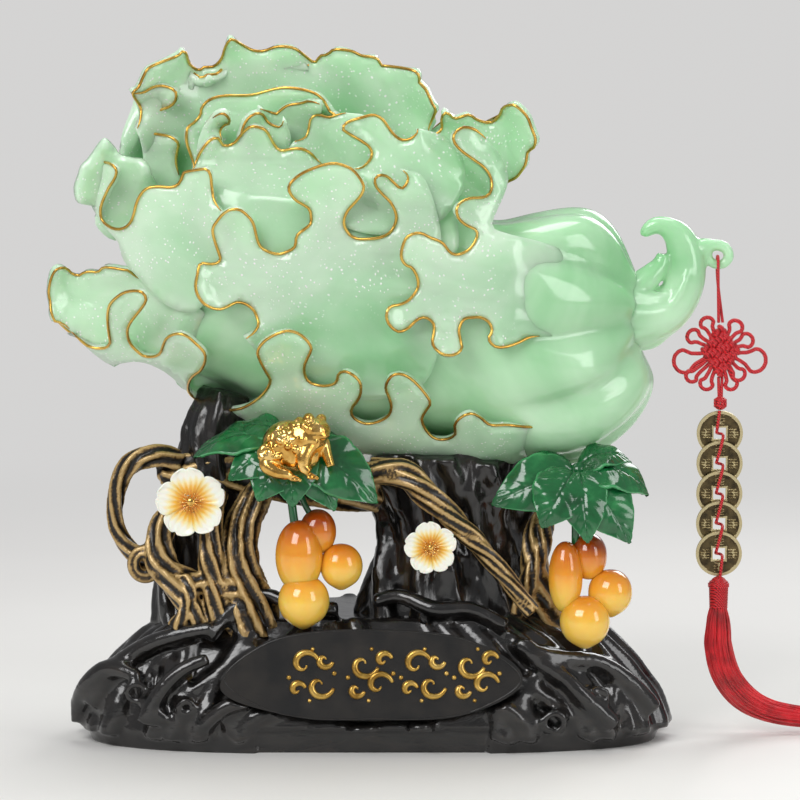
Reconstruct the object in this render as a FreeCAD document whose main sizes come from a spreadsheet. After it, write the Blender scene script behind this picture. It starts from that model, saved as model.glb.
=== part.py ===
import FreeCAD, Part
import Sketcher
import math
import os

V = FreeCAD.Vector
doc = FreeCAD.newDocument("jade_cabbage")

# Driving sizes in millimetres
SIZES = {
    "base_length": 309.0, "base_depth": 128.0, "base_height": 68.0, "base_top_length": 196.0,
    "base_top_depth": 84.0, "base_lobe": 3.0, "foot_arch_length": 118.0, "foot_arch_height": 9.0,
    "foot_arch_depth": 9.0,
    "plaque_length": 153.0, "plaque_height": 46.0, "plaque_thickness": 7.0, "plaque_rise": 42.0,
    "plaque_lean": 8.0, "plaque_front": 62.0,
    "trunk_length": 104.0, "trunk_depth": 62.0, "trunk_place": 41.0, "trunk_top": 166.0,
    "knot_hole_radius": 3.0,
    "peg_radius": 3.0, "peg_length": 34.0, "peg_spacing": 44.0, "peg_rise": 134.0, "peg_play": 0.15,
    "cabbage_depth": 124.0, "cabbage_centre_x": -8.0, "cabbage_centre_z": 248.0,
    "stalk_depth": 116.0, "bare_stalk_from": 40.0, "leaf_thickness": 4.4,
    "ring_radius": 5.4, "ring_bar_radius": 2.8, "ring_x": 178.6, "ring_z": 252.4,
    "blossom_left_petal": 9.2, "blossom_right_petal": 6.9, "petal_thickness": 2.4, "stamen_radius": 2.6,
    "cord_diameter": 1.6, "cord_play": 0.35, "string_x": 180.4,
    "knot_width": 21.0, "knot_height": 29.0, "knot_thickness": 4.6, "knot_z": 201.5, "loop_cord": 2.2,
    "button_radius": 3.6, "button_z": 174.6,
    "coin_radius": 12.0, "coin_thickness": 1.5, "coin_hole": 6.4, "coin_hole_rim": 8.4,
    "coin_rim": 1.7, "coin_relief": 0.35,
    "coin_pitch": 15.8, "coin_lean": 8.0, "first_coin_z": 158.6,
    "tassel_head_radius": 5.4, "tassel_shoulder_radius": 4.8, "tassel_neck_radius": 4.3,
    "tassel_bead_rise": 3.6, "tassel_head_height": 16.4, "tassel_head_top": 82.6,
    "view_distance": 2190.0, "view_x": 14.0, "view_z": 406.0,
}
COINS = 5
PETALS = 5

sheet = doc.addObject("Spreadsheet::Sheet", "Sizes")
for row, (alias, value) in enumerate(SIZES.items(), start=1):
    sheet.set(f"A{row}", alias)
    sheet.set(f"B{row}", str(value))
    sheet.setAlias(f"B{row}", alias)
doc.recompute()


def size(alias):
    """A driving size, read back from the sheet."""
    return float(sheet.get(alias))


def bind(piece, **sizes):
    """Ties properties of a piece to expressions on the sheet."""
    for name, expression in sizes.items():
        piece.setExpression(name, expression)


def name_node(piece, label):
    piece.Label = label
    nodes.append(piece)
    return piece


def shape_node(label, shape, at=V(0, 0, 0)):
    """A freely shaped sub-part. Its Placement is set after its Shape."""
    piece = doc.addObject("Part::Feature", label)
    piece.Shape = shape
    piece.Placement = FreeCAD.Placement(at, FreeCAD.Rotation()).multiply(shape.Placement)
    return name_node(piece, label)


nodes = []


# Places and outlines
def seen(x, z, y=0.0):
    """A place drawn in the front view, brought to depth y along the line of sight."""
    near = y / size("view_distance")
    return V(x + (x - size("view_x")) * near, y, z + (z - size("view_z")) * near)


def closed_curve(points):
    curve = Part.BSplineCurve()
    curve.interpolate(Points=points, PeriodicFlag=True)
    return Part.Wire(curve.toShape())


def drawn_prism(outline, read_at, y_from, y_to):
    """A front-view outline pushed through from y_from to y_to."""
    points = [seen(x, z, read_at) for x, z in outline]
    face = Part.Face(closed_curve([V(p.x, y_from, p.z) for p in points]))
    return face.extrude(V(0, y_to - y_from, 0))


def pillow(outline, centre, half_depth, share):
    """A plump closed body: the outline at its middle, drawn in evenly towards front and back."""
    sections = []
    for turn in (-80, -62, -40, -14, 14, 40, 62, 80):
        angle = math.radians(turn)
        drawn_in = share * math.cos(angle) ** 0.85
        y = share * half_depth * math.sin(angle) / math.sin(math.radians(80))
        points = [V(centre[0] + (x - centre[0]) * drawn_in, y, centre[1] + (z - centre[1]) * drawn_in)
                  for x, z in outline]
        sections.append(closed_curve(points))
    return Part.makeLoft(sections, True, False)


def circle_at(point, along, radius):
    """A circle square to a limb. Its start is kept on one side, so a loft through several lies true."""
    frame_z = V(along).normalize()
    side = V(0, 1, 0) if abs(frame_z.y) < 0.9 else V(1, 0, 0)
    frame_x = side.cross(frame_z).normalize()
    placed = FreeCAD.Placement(point, FreeCAD.Rotation(frame_x, frame_z.cross(frame_x), frame_z, "ZXY"))
    ring = Part.Circle(V(0, 0, 0), V(0, 0, 1), radius).toShape()
    ring.Placement = placed
    return Part.Wire(ring)


def limb(stations, widen=1.0):
    """A smooth tapering limb through (x, z, y, radius) stations drawn in the front view."""
    points = [seen(x, z, y) for x, z, y, radius in stations]
    rings = []
    for i, point in enumerate(points):
        before, after = points[max(i - 1, 0)], points[min(i + 1, len(points) - 1)]
        rings.append(circle_at(point, after - before, stations[i][3] * widen))
    return Part.makeLoft(rings, True, False)


def fused(shapes):
    whole = shapes[0].multiFuse(shapes[1:]).removeSplitter()
    return whole.reversed() if whole.Volume < 0 else whole


def less(shape, others):
    """What is left of a piece beside its neighbours, so that they meet face to face."""
    for other in others:
        if shape.BoundBox.intersect(other.BoundBox):
            shape = shape.cut(other)
    return sorted(shape.Solids, key=lambda solid: solid.Volume)[-1]


def ball(point, radius):
    return Part.makeSphere(radius, point)


# Cabbage outlines, drawn in the front view in millimetres
WHOLE = [(149, 222), (149, 188), (130, 157), (95, 140.5), (45, 137), (-5, 142), (-55, 157), (-100, 178),
         (-142, 193), (-171, 213), (-174, 247), (-160, 290), (-142, 324), (-118, 348), (-85, 363), (-45, 366),
         (-5, 361), (35, 349), (70, 334), (93, 309), (107, 285), (128, 272), (144, 248)]
STALK = [(61, 270), (86, 274.5), (112, 277), (127, 266), (138, 243), (142, 222), (141, 204), (146.5, 186),
         (138, 165), (118, 147.5), (95, 141), (66, 138.3), (20, 138.5), (-25, 150), (-70, 168), (-108, 198),
         (-118, 235), (-95, 268), (-45, 285), (15, 282)]
LOWER_LEAF = [(-168, 232), (-165, 217), (-156, 211), (-147, 202), (-137, 193), (-124, 192), (-112, 185),
              (-100, 175), (-75, 161), (-45, 146), (0, 134), (50, 130), (92, 134), (103, 150), (88, 162),
              (61, 164), (51, 169), (43, 163), (38, 156), (27, 161), (29, 174), (19, 187.5), (7, 184),
              (8, 170), (-4, 163.5), (-11, 169), (-7, 182), (-15, 191), (-25, 183.5), (-35, 190), (-33, 203),
              (-45, 212), (-58, 204), (-54, 187), (-67, 172), (-86, 173.5), (-96, 182), (-88, 197),
              (-97, 209), (-107, 208), (-116, 199), (-127, 210), (-118, 227), (-125, 241), (-140, 245),
              (-152, 241.5), (-161, 245)]
RIGHT_LEAF = [(86, 209), (71, 204), (61, 208), (59, 218), (47, 218), (45, 204), (37, 200), (31, 214),
              (22, 217), (12, 212), (7, 221), (18, 228), (23, 238), (15, 249), (17, 261), (28, 262),
              (40, 253), (53, 258), (50, 267), (44, 276), (56, 281), (61, 289), (56, 298), (44, 307),
              (43, 316), (56, 314), (70, 300), (68, 285), (62, 268), (75, 262), (104, 252), (124, 236),
              (122, 219), (104, 210)]
FRONT_LEAF = [(-66, 208), (-60, 217), (-70, 226.5), (-85, 224), (-92, 236), (-89, 247), (-79, 250),
              (-83, 265), (-73, 275), (-62, 267), (-55, 254), (-40, 256), (-32, 270), (-43, 284),
              (-35, 295), (-17, 298.5), (-5, 288), (-14, 270), (-3, 260), (12, 268), (3, 284), (7, 292),
              (18, 289), (28, 280), (32, 245), (34, 212), (20, 182), (-20, 180), (-50, 190)]
MIDDLE_LEAF = [(-150, 285), (-144, 300), (-134, 298), (-137, 280), (-126, 278), (-121, 283),
               (-111, 287), (-99, 290), (-92, 295), (-83, 291), (-76, 275), (-84, 262), (-90, 246),
               (-98, 233), (-112, 236), (-124, 246), (-131, 254), (-134, 262), (-146, 273)]
UPPER_LEAF = [(23, 318), (16, 311), (7, 318), (-2, 324), (-14, 319), (-10, 312), (-1, 305), (-8, 296),
              (-28, 290), (-20, 270), (20, 268), (42, 285), (42, 306), (32, 314)]
CROWN_LEAF = [(-124, 335), (-116, 348), (-98, 356.5), (-88, 348.5), (-79, 352), (-73, 363), (-60, 357),
              (-42, 359), (-30, 352), (-15, 357.5), (0, 353.5), (23, 345), (32, 326), (28, 305),
              (-10, 282), (-70, 278), (-104, 284), (-118, 302), (-121, 317)]
RIGHT_CROWN = [(28, 313), (37, 324.5), (53, 321.5), (66, 327), (76, 327), (84, 310), (77, 295), (67, 287),
               (61, 272), (30, 270), (14, 292)]
INNER_LEAF = [(-92, 295), (-96, 312), (-88, 326), (-77, 334), (-60, 335), (-44, 338), (-27, 333),
              (-19, 323), (-32, 321), (-35, 312), (-22, 301), (-8, 292), (-20, 276), (-45, 271), (-75, 273)]
BACK_LEAF = [(-150, 230), (-133, 200), (-97, 184), (-60, 163), (-10, 147), (50, 142), (96, 148), (118, 170),
             (122, 205), (108, 245), (70, 268), (66, 290), (30, 280), (-10, 296), (-50, 280), (-90, 296),
             (-125, 280), (-140, 262)]
cabbage_centre = (size("cabbage_centre_x"), size("cabbage_centre_z"))
half_depth = size("cabbage_depth") / 2
leaf_share = size("leaf_thickness") / half_depth


def layer(number):
    """The plump body left when a number of leaf thicknesses is peeled from the whole head."""
    return pillow(WHOLE, cabbage_centre, half_depth, 1 - number * leaf_share)


layers = [layer(number) for number in (0, 1, 2, 3, 5)]
skins = {"outer": layers[0].cut(layers[1]), "second": layers[1].cut(layers[2]),
         "third": layers[2].cut(layers[3]), "outer_two": layers[0].cut(layers[2]),
         "inner": layers[3].cut(layers[4])}

# Leaves from the outermost inwards: outline, depth it was read at, skin and reach from front to back
reach = size("cabbage_depth")
LEAVES = [("leaf_lower_front", LOWER_LEAF, -46, "outer", -reach, 8),
          ("leaf_right_front", RIGHT_LEAF, -54, "outer", -reach, -14),
          ("leaf_middle_front", FRONT_LEAF, -50, "second", -reach, -8),
          ("leaf_middle_left", MIDDLE_LEAF, -24, "outer_two", -reach, 16),
          ("leaf_upper_front", UPPER_LEAF, -38, "third", -reach, -4),
          ("leaf_lower_back", LOWER_LEAF, 40, "outer", 8, reach),
          ("leaf_crown_right", RIGHT_CROWN, 8, "outer_two", -14, reach),
          ("leaf_crown_back", CROWN_LEAF, 16, "outer_two", -2, reach),
          ("leaf_middle_back", BACK_LEAF, 46, "second", 18, reach),
          ("leaf_inner", INNER_LEAF, -16, "inner", -reach, 22)]
PRESSED = {"leaf_middle_left": ["leaf_middle_front"], "leaf_crown_back": ["leaf_crown_right"],
           "leaf_middle_back": ["leaf_crown_right", "leaf_crown_back"]}
leaf_shapes = {}
for label, outline, read_at, skin, y_from, y_to in LEAVES:
    leaf = skins[skin].common(drawn_prism(outline, read_at, y_from, y_to))
    beside = [leaf_shapes[other] for other in PRESSED.get(label, [])]
    leaf_shapes[label] = less(leaf, beside)

# The rolled edge at the far left and the curled heart
curl = limb([(-146, 279, 0, 5.0), (-147, 290, -2, 6.5), (-139, 300, -4, 7.0), (-128, 297, -4, 5.5),
             (-119, 294, -4, 4.0)])
leaf_shapes["leaf_curl_left"] = less(curl, [leaf_shapes["leaf_middle_left"]])
HEART_CURLS = [[(-79, 322, -26, 3.0), (-74, 314, -28, 4.5), (-77, 304, -26, 5.5), (-70, 290, -24, 6.0)],
               [(-66, 324, -26, 3.0), (-58, 318, -28, 4.5), (-62, 306, -26, 6.0), (-58, 290, -24, 7.0)],
               [(-46, 324, -26, 3.0), (-48, 314, -28, 4.5), (-44, 304, -26, 5.5), (-46, 288, -24, 6.0)]]
made = []
for number, stations in enumerate(HEART_CURLS, start=1):
    heart = less(limb(stations), [leaf_shapes["leaf_inner"]] + made)
    made.append(heart)
    shape_node(f"heart_curl_{number}", heart)

# The smooth stalk body: bare at the right, and within two leaf thicknesses under the leaves
stalk_centre = (24.0, 212.0)
stalk = pillow(STALK, stalk_centre, size("stalk_depth") / 2, 1.0)
bare_from = size("bare_stalk_from")
bare = Part.makeBox(2 * reach, 2 * reach, 2 * reach, V(bare_from, -reach, 100))
stalk = stalk.common(layers[2]).fuse(stalk.common(bare))
stalk = less(stalk, [leaf_shapes[label] for label in ("leaf_right_front", "leaf_lower_front",
                                                      "leaf_lower_back", "leaf_middle_back", "leaf_inner")])

# The root end: a bent tip with the ring for the cord
tip = limb([(134, 221, 0, 17.0), (150, 223.5, 0, 12.0), (161.5, 235, 0, 10.4), (163.5, 249, 0, 9.8),
            (158.5, 261, 0, 8.6), (150, 266, 0, 6.4), (143.5, 264.5, 0, 4.8)])
ring = Part.makeTorus(size("ring_radius"), size("ring_bar_radius"), V(0, 0, 0), V(0, 1, 0))
ring.translate(V(size("ring_x"), 0, size("ring_z")))
eye = Part.makeCylinder(size("ring_radius") - size("ring_bar_radius"), 40,
                        V(size("ring_x"), -20, size("ring_z")), V(0, 1, 0))
root_tip = less(fused([tip.cut(eye), ring]), [stalk])

# Stand
half_length = size("base_length") / 2
half_width = size("base_depth") / 2


def base_section(rise, length_share, depth_share):
    """A rounded outline with slow lobes, one level of the carved root."""
    points = []
    steps = 28
    for step in range(steps):
        angle = 2 * math.pi * step / steps
        lobe = 1 + size("base_lobe") / half_width * math.sin(5 * angle + 0.6) * (1 - length_share * 0.35)
        x = abs(math.cos(angle)) ** 0.75 * math.copysign(1, math.cos(angle))
        y = abs(math.sin(angle)) ** 0.75 * math.copysign(1, math.sin(angle))
        points.append(V(x * half_length * length_share, y * half_width * depth_share * lobe, rise))
    return closed_curve(points)


height = size("base_height")
top_length = size("base_top_length") / size("base_length")
top_depth = size("base_top_depth") / size("base_depth")
base = Part.makeLoft([base_section(0, 0.985, 0.97), base_section(height * 0.12, 1.0, 0.99),
                      base_section(height * 0.34, 0.965, 0.96), base_section(height * 0.58, 0.895, 0.9),
                      base_section(height * 0.8, 0.8, 0.8), base_section(height, top_length, top_depth)],
                     True, False)
arch = Part.makeBox(size("foot_arch_length"), size("foot_arch_depth"), size("foot_arch_height"),
                    V(-size("foot_arch_length") / 2, -half_width, 0))
base = base.cut(arch)

# The plaque: a pointed oval plate let into the front of the root
half_plaque = size("plaque_length") / 2
rise = size("plaque_height") / 2
PLAQUE_SHARES = [(-1, -0.1), (-0.72, 0.7), (-0.35, 0.97), (0, 1), (0.35, 0.95), (0.7, 0.7), (1, -0.1),
                 (0.7, -0.8), (0.35, -1), (0, -1), (-0.35, -1), (-0.7, -0.8)]
plaque_outline = [V(half_plaque * along, 0, rise * up) for along, up in PLAQUE_SHARES]
plaque = Part.Face(closed_curve(plaque_outline)).extrude(V(0, size("plaque_thickness") + 6, 0))
plaque.rotate(V(0, 0, 0), V(1, 0, 0), -size("plaque_lean"))
plaque.translate(V(0, -size("plaque_front"), size("plaque_rise")))
base = base.cut(plaque)

# Trunks of the stand, cut to the root below and to the cabbage above
trunk_x = size("trunk_place")
trunk_half = size("trunk_length") / 2
trunk_deep = size("trunk_depth") / 2
trunk_top = size("trunk_top")


def trunk_section(rise, length_share, depth_share, shift=0.0):
    points = []
    steps = 14
    for step in range(steps):
        angle = 2 * math.pi * step / steps
        lobe = 1 + 0.09 * math.sin(3 * angle + rise * 0.03)
        points.append(V(trunk_x + shift + trunk_half * length_share * lobe * math.cos(angle),
                        trunk_deep * depth_share * lobe * math.sin(angle), rise))
    return closed_curve(points)


trunk = Part.makeLoft([trunk_section(height - 12, 1.1, 1.15), trunk_section(height + 16, 0.95, 0.95),
                       trunk_section(height + 44, 0.86, 0.84), trunk_section(height + 70, 0.96, 0.9),
                       trunk_section(trunk_top, 1.0, 0.95)], True, False)
left_trunk = limb([(-88, 60, 2, 25), (-92, 84, 2, 21), (-90, 108, 2, 19), (-82, 132, 2, 17),
                   (-78, 158, 2, 17), (-74, 186, 2, 16)])
bough = limb([(-112, 141, -10, 7.5), (-86, 140, -10, 9.5), (-58, 137, -10, 10), (-30, 132, -10, 10.5),
              (0, 130, -10, 11), (24, 128, -8, 12)])
loop_bough = limb([(-106, 142, -16, 5.0), (-118, 145, -17, 5.4), (-130, 139, -18, 5.2),
                   (-133.5, 123, -18, 3.8), (-132.5, 108, -18, 3.6), (-125, 97, -19, 4.2),
                   (-114, 90, -21, 5.5)])
post_left = limb([(-96, 124, -24, 5), (-109, 112, -27, 5.5), (-112, 96, -29, 6.5), (-104, 80, -34, 6.5),
                  (-95, 66, -38, 5.5), (-93, 56, -38, 5.0)])
post_middle = limb([(-82, 124, -27, 5), (-84, 108, -32, 5), (-85, 90, -34, 5.5), (-83, 74, -37, 5),
                    (-81, 56, -38, 5)])
post_right = limb([(-62, 130, -22, 7), (-68, 108, -26, 7.5), (-69, 88, -28, 9), (-64, 66, -30, 12),
                   (-62, 54, -30, 13)])
cross_post = limb([(-112, 90, -29, 5.5), (-98, 82, -33, 5), (-84, 80, -35, 4.5)])
knot_eye = ball(seen(-118.5, 90.5, -22), 7.4)
knot_hole = Part.makeCylinder(size("knot_hole_radius"), 30, seen(-120, 90, -36), V(0, 1, 0))
branch_front = limb([(-2, 137, -30, 9), (16, 135, -34, 10), (29, 125, -38, 8.5), (40, 114, -39, 6.5),
                     (52, 103, -40, 5.8), (63, 92, -42, 5.2), (73, 78, -43, 5), (82, 66, -44, 5)])
branch_right = limb([(90, 58, -20, 9), (87, 76, -20, 7.5), (84, 94, -20, 6.8), (86, 110, -18, 6),
                     (96, 126, -14, 5.4), (108, 140, -12, 4.6)])

# Leaf sprays, gourds and blossoms


def blade(stem, tip_point, width, bow, facing=V(0, -1, 0), thickness=2.2):
    """A thick pointed leaf from its stem to its tip, bowed towards the side that it faces."""
    root, end = seen(*stem), seen(*tip_point)
    along = end - root
    across = V(along).cross(facing).normalize()
    out = V(across).cross(along).normalize()
    if out.dot(facing) < 0:
        out = -out
    sections = []
    for share, wide in ((0.0, 0.10), (0.18, 0.62), (0.42, 1.0), (0.66, 0.86), (0.86, 0.42), (1.0, 0.05)):
        middle = root + along * share + out * (bow * 4 * share * (1 - share))
        ellipse = Part.Ellipse(V(0, 0, 0), max(width / 2 * wide, thickness * 0.52), thickness / 2)
        edge = ellipse.toShape()
        normal = V(along).normalize()
        edge.Placement = FreeCAD.Placement(middle, FreeCAD.Rotation(across, normal.cross(across), normal, "ZXY"))
        sections.append(Part.Wire(edge))
    return Part.makeLoft(sections, True, False)


left_hub = (-42, 150, -40)
spray_left = fused([
    limb([(-38, 134, -12, 5), (-42, 143, -28, 4.5), (-42, 151, -42, 4)]), ball(seen(*left_hub), 4.5),
    limb([(-43, 148, -42, 2.6), (-43, 128, -46, 2.4), (-40, 104, -47, 2.4)]),
    blade((-48, 155, -38), (-92, 146, -34), 17, 6, V(0, -0.5, 1)),
    blade((-46, 152, -42), (-74, 135, -50), 15, 4, V(-0.3, -1, 0.4)),
    blade((-44, 150, -44), (-58, 124, -56), 22, 4, V(0, -1, 0.3)),
    blade((-42, 150, -44), (-40, 121, -57), 20, 4, V(0, -1, 0.3)),
    blade((-38, 150, -43), (-20, 119, -54), 17, 4, V(0.2, -1, 0.2)),
    blade((-36, 152, -42), (2, 123, -50), 21, 5, V(0.1, -1, 0.5))])
right_hub = (107, 139, -34)
spray_right = fused([
    limb([(106, 137, -14, 4.2), (107, 139, -24, 4.2), (107, 139, -34, 4)]), ball(seen(*right_hub), 4.4),
    blade((104, 139, -34), (63, 121, -38), 18, 4, V(0, -1, 0.4)),
    blade((104, 138, -38), (89, 110, -50), 21, 4, V(-0.1, -1, 0.2)),
    blade((108, 138, -38), (121, 104, -50), 19, 4, V(0, -1, 0.1)),
    blade((110, 138, -36), (136, 103, -46), 21, 5, V(0.3, -1, 0.3)),
    blade((110, 140, -32), (143, 127, -30), 16, 7, V(0.1, -0.6, 1)),
    limb([(106, 137, -36, 2.4), (105.5, 120, -38, 2.2), (105.5, 100, -37, 2.2)])])

LEFT_GOURDS = [(-38.5, 92, -48, 12.5, 16.5), (-16.8, 89, -45, 10.9, 11.4), (-36.5, 70.5, -50, 13.2, 13.2),
               (-29, 108.5, -42, 9.5, 10.5)]
RIGHT_GOURDS = [(101, 81, -42, 9.0, 16.5), (124, 75, -38, 11.4, 11.8), (110.8, 59.8, -44, 12.9, 13.0),
                (112.5, 94, -36, 9.6, 12.0)]

# Gold toad, sitting on the leaves with its back to the cabbage


def turned_ball(x, z, y, wide, tall, deep, pole=V(0, 0, 1)):
    grow = FreeCAD.Matrix()
    grow.scale(wide, deep, tall)
    body = Part.makeSphere(1.0, V(0, 0, 0), pole).transformGeometry(grow)
    body.translate(seen(x, z, y))
    return body


TOAD = [(-42, 154, -56, 11.5), (-33, 159.5, -58, 7.6), (-51, 147, -58, 8), (-45, 138.5, -63, 4),
        (-34, 147, -63, 5.5), (-27, 156, -52, 4.5)]
toad = fused([ball(seen(x, z, y), radius) for x, z, y, radius in TOAD])

# The trunks stand on the root and end at the cabbage
head = layers[0]
trunk = less(trunk, [base, head, stalk])
left_trunk = less(left_trunk, [base, head])
bough = less(bough, [head, stalk, trunk, left_trunk])
loop_bough = less(loop_bough, [bough, left_trunk])
stump = less(fused([post_left, post_middle, post_right, cross_post, knot_eye]).cut(knot_hole), [base])
branch_front = less(branch_front, [base, head, stalk, trunk, bough])
branch_right = less(branch_right, [base, head, trunk])
spray_left = less(spray_left, [head, bough])
spray_right = less(spray_right, [head, stalk, branch_right])
toad = less(toad, [spray_left])

# Pegs that hold the cabbage on the trunk
peg_radius = size("peg_radius")
for number, side in ((1, -1), (2, 1)):
    x = trunk_x + side * size("peg_spacing") / 2
    bore = Part.makeCylinder(peg_radius + size("peg_play"), size("peg_length") + 2 * size("peg_play"),
                             V(x, 0, size("peg_rise") - size("peg_play")))
    trunk = trunk.cut(bore)
    stalk = stalk.cut(bore)
    for label in ("leaf_lower_front", "leaf_lower_back"):
        leaf_shapes[label] = less(leaf_shapes[label], [bore])
    peg = doc.addObject("Part::Cylinder", f"peg_{number}")
    bind(peg, Radius="Sizes.peg_radius", Height="Sizes.peg_length")
    bind(peg, **{"Placement.Base.x": f"Sizes.trunk_place + {side} * Sizes.peg_spacing / 2",
                 "Placement.Base.z": "Sizes.peg_rise"})
    name_node(peg, f"peg_{number}")

for label, shape in leaf_shapes.items():
    shape_node(label, shape)
for label, shape in (("root_base", base), ("plaque", plaque), ("trunk_centre", trunk),
                     ("trunk_left", left_trunk), ("bough", bough), ("branch_loop_left", loop_bough),
                     ("stump_left", stump), ("branch_front", branch_front), ("branch_right", branch_right),
                     ("cabbage_stalk", stalk), ("root_tip", root_tip), ("leaf_spray_left", spray_left),
                     ("leaf_spray_right", spray_right), ("toad", toad)):
    shape_node(label, shape)

# Gourds: each one plump, and cut by those it was pressed against
carriers = {"left": spray_left, "right": spray_right}
for side, gourds in (("left", LEFT_GOURDS), ("right", RIGHT_GOURDS)):
    made = []
    for number, (x, z, y, wide, tall) in enumerate(gourds, start=1):
        pole = V(0, 1, 0) if (side, number) == ("right", 4) else V(0, 0, 1)
        gourd = turned_ball(x, z, y, wide, tall, wide, pole)
        gourd = less(gourd, made + [carriers[side], base])
        made.append(gourd)
        shape_node(f"gourd_{side}_{number}", gourd)

# Blossoms: five petals round a stamen bead, each petal a flat ellipsoid
BLOSSOMS = [("left", (-95, 122.5, -42), bough, [(-95, 122.5, -38, 3.4), (-96, 131, -26, 3.0), (-97, 140, -11, 3.0)]),
            ("right", (30, 98.5, -47), trunk, [(30, 98.5, -43, 3.4), (31, 99, -32, 3.0), (33, 100, -17, 3.0)])]
for side, place, behind, stem in BLOSSOMS:
    centre = seen(*place)
    petal_size = size(f"blossom_{side}_petal")
    petals = []
    for number in range(PETALS):
        turn = math.radians(90 + 8 + number * 360 / PETALS)
        grow = FreeCAD.Matrix()
        grow.scale(petal_size, size("petal_thickness"), petal_size * 0.92)
        petal = Part.makeSphere(1.0).transformGeometry(grow)
        petal.translate(V(petal_size * 0.98 * math.cos(turn), 0, petal_size * 0.98 * math.sin(turn)))
        petals.append(petal)
    cup = Part.makeCone(petal_size * 0.45, petal_size * 0.8, 6.0, V(0, 6.0, 0), V(0, -1, 0))
    stamen = doc.addObject("Part::Sphere", f"stamen_{side}")
    bind(stamen, Radius="Sizes.stamen_radius")
    stamen.Placement.Base = centre + V(0, -size("petal_thickness") - size("stamen_radius") * 0.6, 0)
    flower = fused(petals + [cup])
    flower.translate(centre)
    flower = fused([flower, limb(stem)])
    flower = flower.cut(ball(stamen.Placement.Base, size("stamen_radius")))
    shape_node(f"blossom_{side}", less(flower, [behind]))
    name_node(stamen, f"stamen_{side}")

# The pendant: a cord through the ring, a knot, coins and a tassel
cord = size("cord_diameter")
play = size("cord_play")
string_x = size("string_x")


def cord_along(points, label, diameter):
    """A cord of straight runs joined by tangent arcs as large as the runs allow."""
    edges = []
    start = points[0]
    radii = []
    for before, corner, after in zip(points, points[1:], points[2:]):
        come, go = (corner - before), (after - corner)
        turn = come.getAngle(go)
        reach_back = 0.45 * min(come.Length, go.Length)
        radii.append(round(reach_back / math.tan(turn / 2), 1))
        first = corner - V(come).normalize() * reach_back
        last = corner + V(go).normalize() * reach_back
        bisect = (V(go).normalize() - V(come).normalize()).normalize()
        depth = reach_back / math.tan(turn / 2) * (1 / math.cos(turn / 2) - 1)
        middle = corner + bisect * depth
        edges.append(Part.LineSegment(start, first).toShape())
        edges.append(Part.Arc(first, middle, last).toShape())
        start = last
    edges.append(Part.LineSegment(start, points[-1]).toShape())
    path = Part.Wire(edges)
    section = Part.Wire(Part.makeCircle(diameter / 2, points[0], points[1] - points[0]))
    tube = path.makePipeShell([section], True, False)
    straight = math.pi * diameter ** 2 / 4 * path.Length
    print(label, "length", round(path.Length, 1), "radii", radii, "volume", round(tube.Volume / straight, 3))
    return tube


knot_top = size("knot_z") + size("knot_height") / 2
strand = cord / 2 + 0.25
bar_z = size("ring_z") - size("ring_radius")
loop_reach = size("ring_bar_radius") + play + cord / 2
loop_points = [V(string_x - strand, -0.1, knot_top + 0.45), V(string_x - 1.4, -2.0, 228.0),
               V(size("ring_x"), -loop_reach, 240.5), V(size("ring_x"), -loop_reach, bar_z + loop_reach),
               V(size("ring_x"), loop_reach, bar_z + loop_reach), V(size("ring_x"), loop_reach, 240.5),
               V(string_x - 0.4, 2.2, 228.0), V(string_x + strand, 0.1, knot_top + 0.45)]
shape_node("hanging_loop", cord_along(loop_points, "hanging_loop", cord))

# The knot: a woven diamond with ten loops
KNOT_LOOPS = [(-18.2, -5.2, 5.6), (17.6, -4.7, 5.6), (-6.9, 14.2, 3.2), (-13.7, 7.6, 3.4), (7.6, 12.4, 3.4),
              (13.2, 5.5, 3.4), (-14.6, -12.8, 3.0), (-7.0, -16.6, 3.2), (9.4, -11.8, 3.2), (5.6, -16.8, 3.0)]
half_wide, half_tall = size("knot_width") / 2, size("knot_height") / 2
rhombus = Part.makePolygon([V(-half_wide, 0, 0), V(0, 0, half_tall), V(half_wide, 0, 0), V(0, 0, -half_tall),
                            V(-half_wide, 0, 0)])
knot = Part.Face(rhombus).extrude(V(0, size("knot_thickness"), 0))
knot.translate(V(0, -size("knot_thickness") / 2, 0))
for x, z, radius in KNOT_LOOPS:
    out = V(x, 0, z)
    edge = 1 / (abs(x / out.Length) / half_wide + abs(z / out.Length) / half_tall)
    neck = Part.makeCylinder(size("loop_cord") * 0.64, out.Length - radius - edge + 3, out, V(out) * -1)
    neck.translate(V(out).normalize() * -radius)
    loop = Part.makeTorus(radius, size("loop_cord") / 2, V(0, 0, 0), V(0, 1, 0))
    loop.rotate(V(0, 0, 0), V(0, 1, 0), 37)
    loop.translate(out)
    knot = knot.fuse(neck).fuse(loop)
shape_node("chinese_knot", knot, V(string_x, 0, size("knot_z")))

# Two cords side by side run down from the knot into a button knot
button_y = -1.6
button_place = V(string_x, button_y, size("button_z"))
tip_z = size("knot_z") - half_tall
knot_cord = []
for side in (-1, 1):
    path = Part.makeLine(V(string_x + side * strand, 0, tip_z + 0.4), V(string_x + side * strand * 0.6, button_y,
                                                                       size("button_z")))
    knot_cord.append(Part.makeCylinder(cord / 2, path.Length, path.Vertexes[0].Point,
                                       path.Vertexes[1].Point - path.Vertexes[0].Point))
knot_place = FreeCAD.Placement(V(string_x, 0, size("knot_z")), FreeCAD.Rotation())
placed_knot = knot.copy()
placed_knot.Placement = knot_place
knot_cord = fused(knot_cord)
shape_node("knot_cord", less(knot_cord, [placed_knot, ball(button_place, size("button_radius"))]))

button = doc.addObject("Part::Ellipsoid", "button_knot")
bind(button, Radius1="Sizes.button_radius", Radius2="Sizes.button_radius", Radius3="Sizes.button_radius")
bind(button, **{"Placement.Base.x": "Sizes.string_x", "Placement.Base.z": "Sizes.button_z"})
button.Placement.Base.y = button_y
name_node(button, "button_knot")


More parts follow.
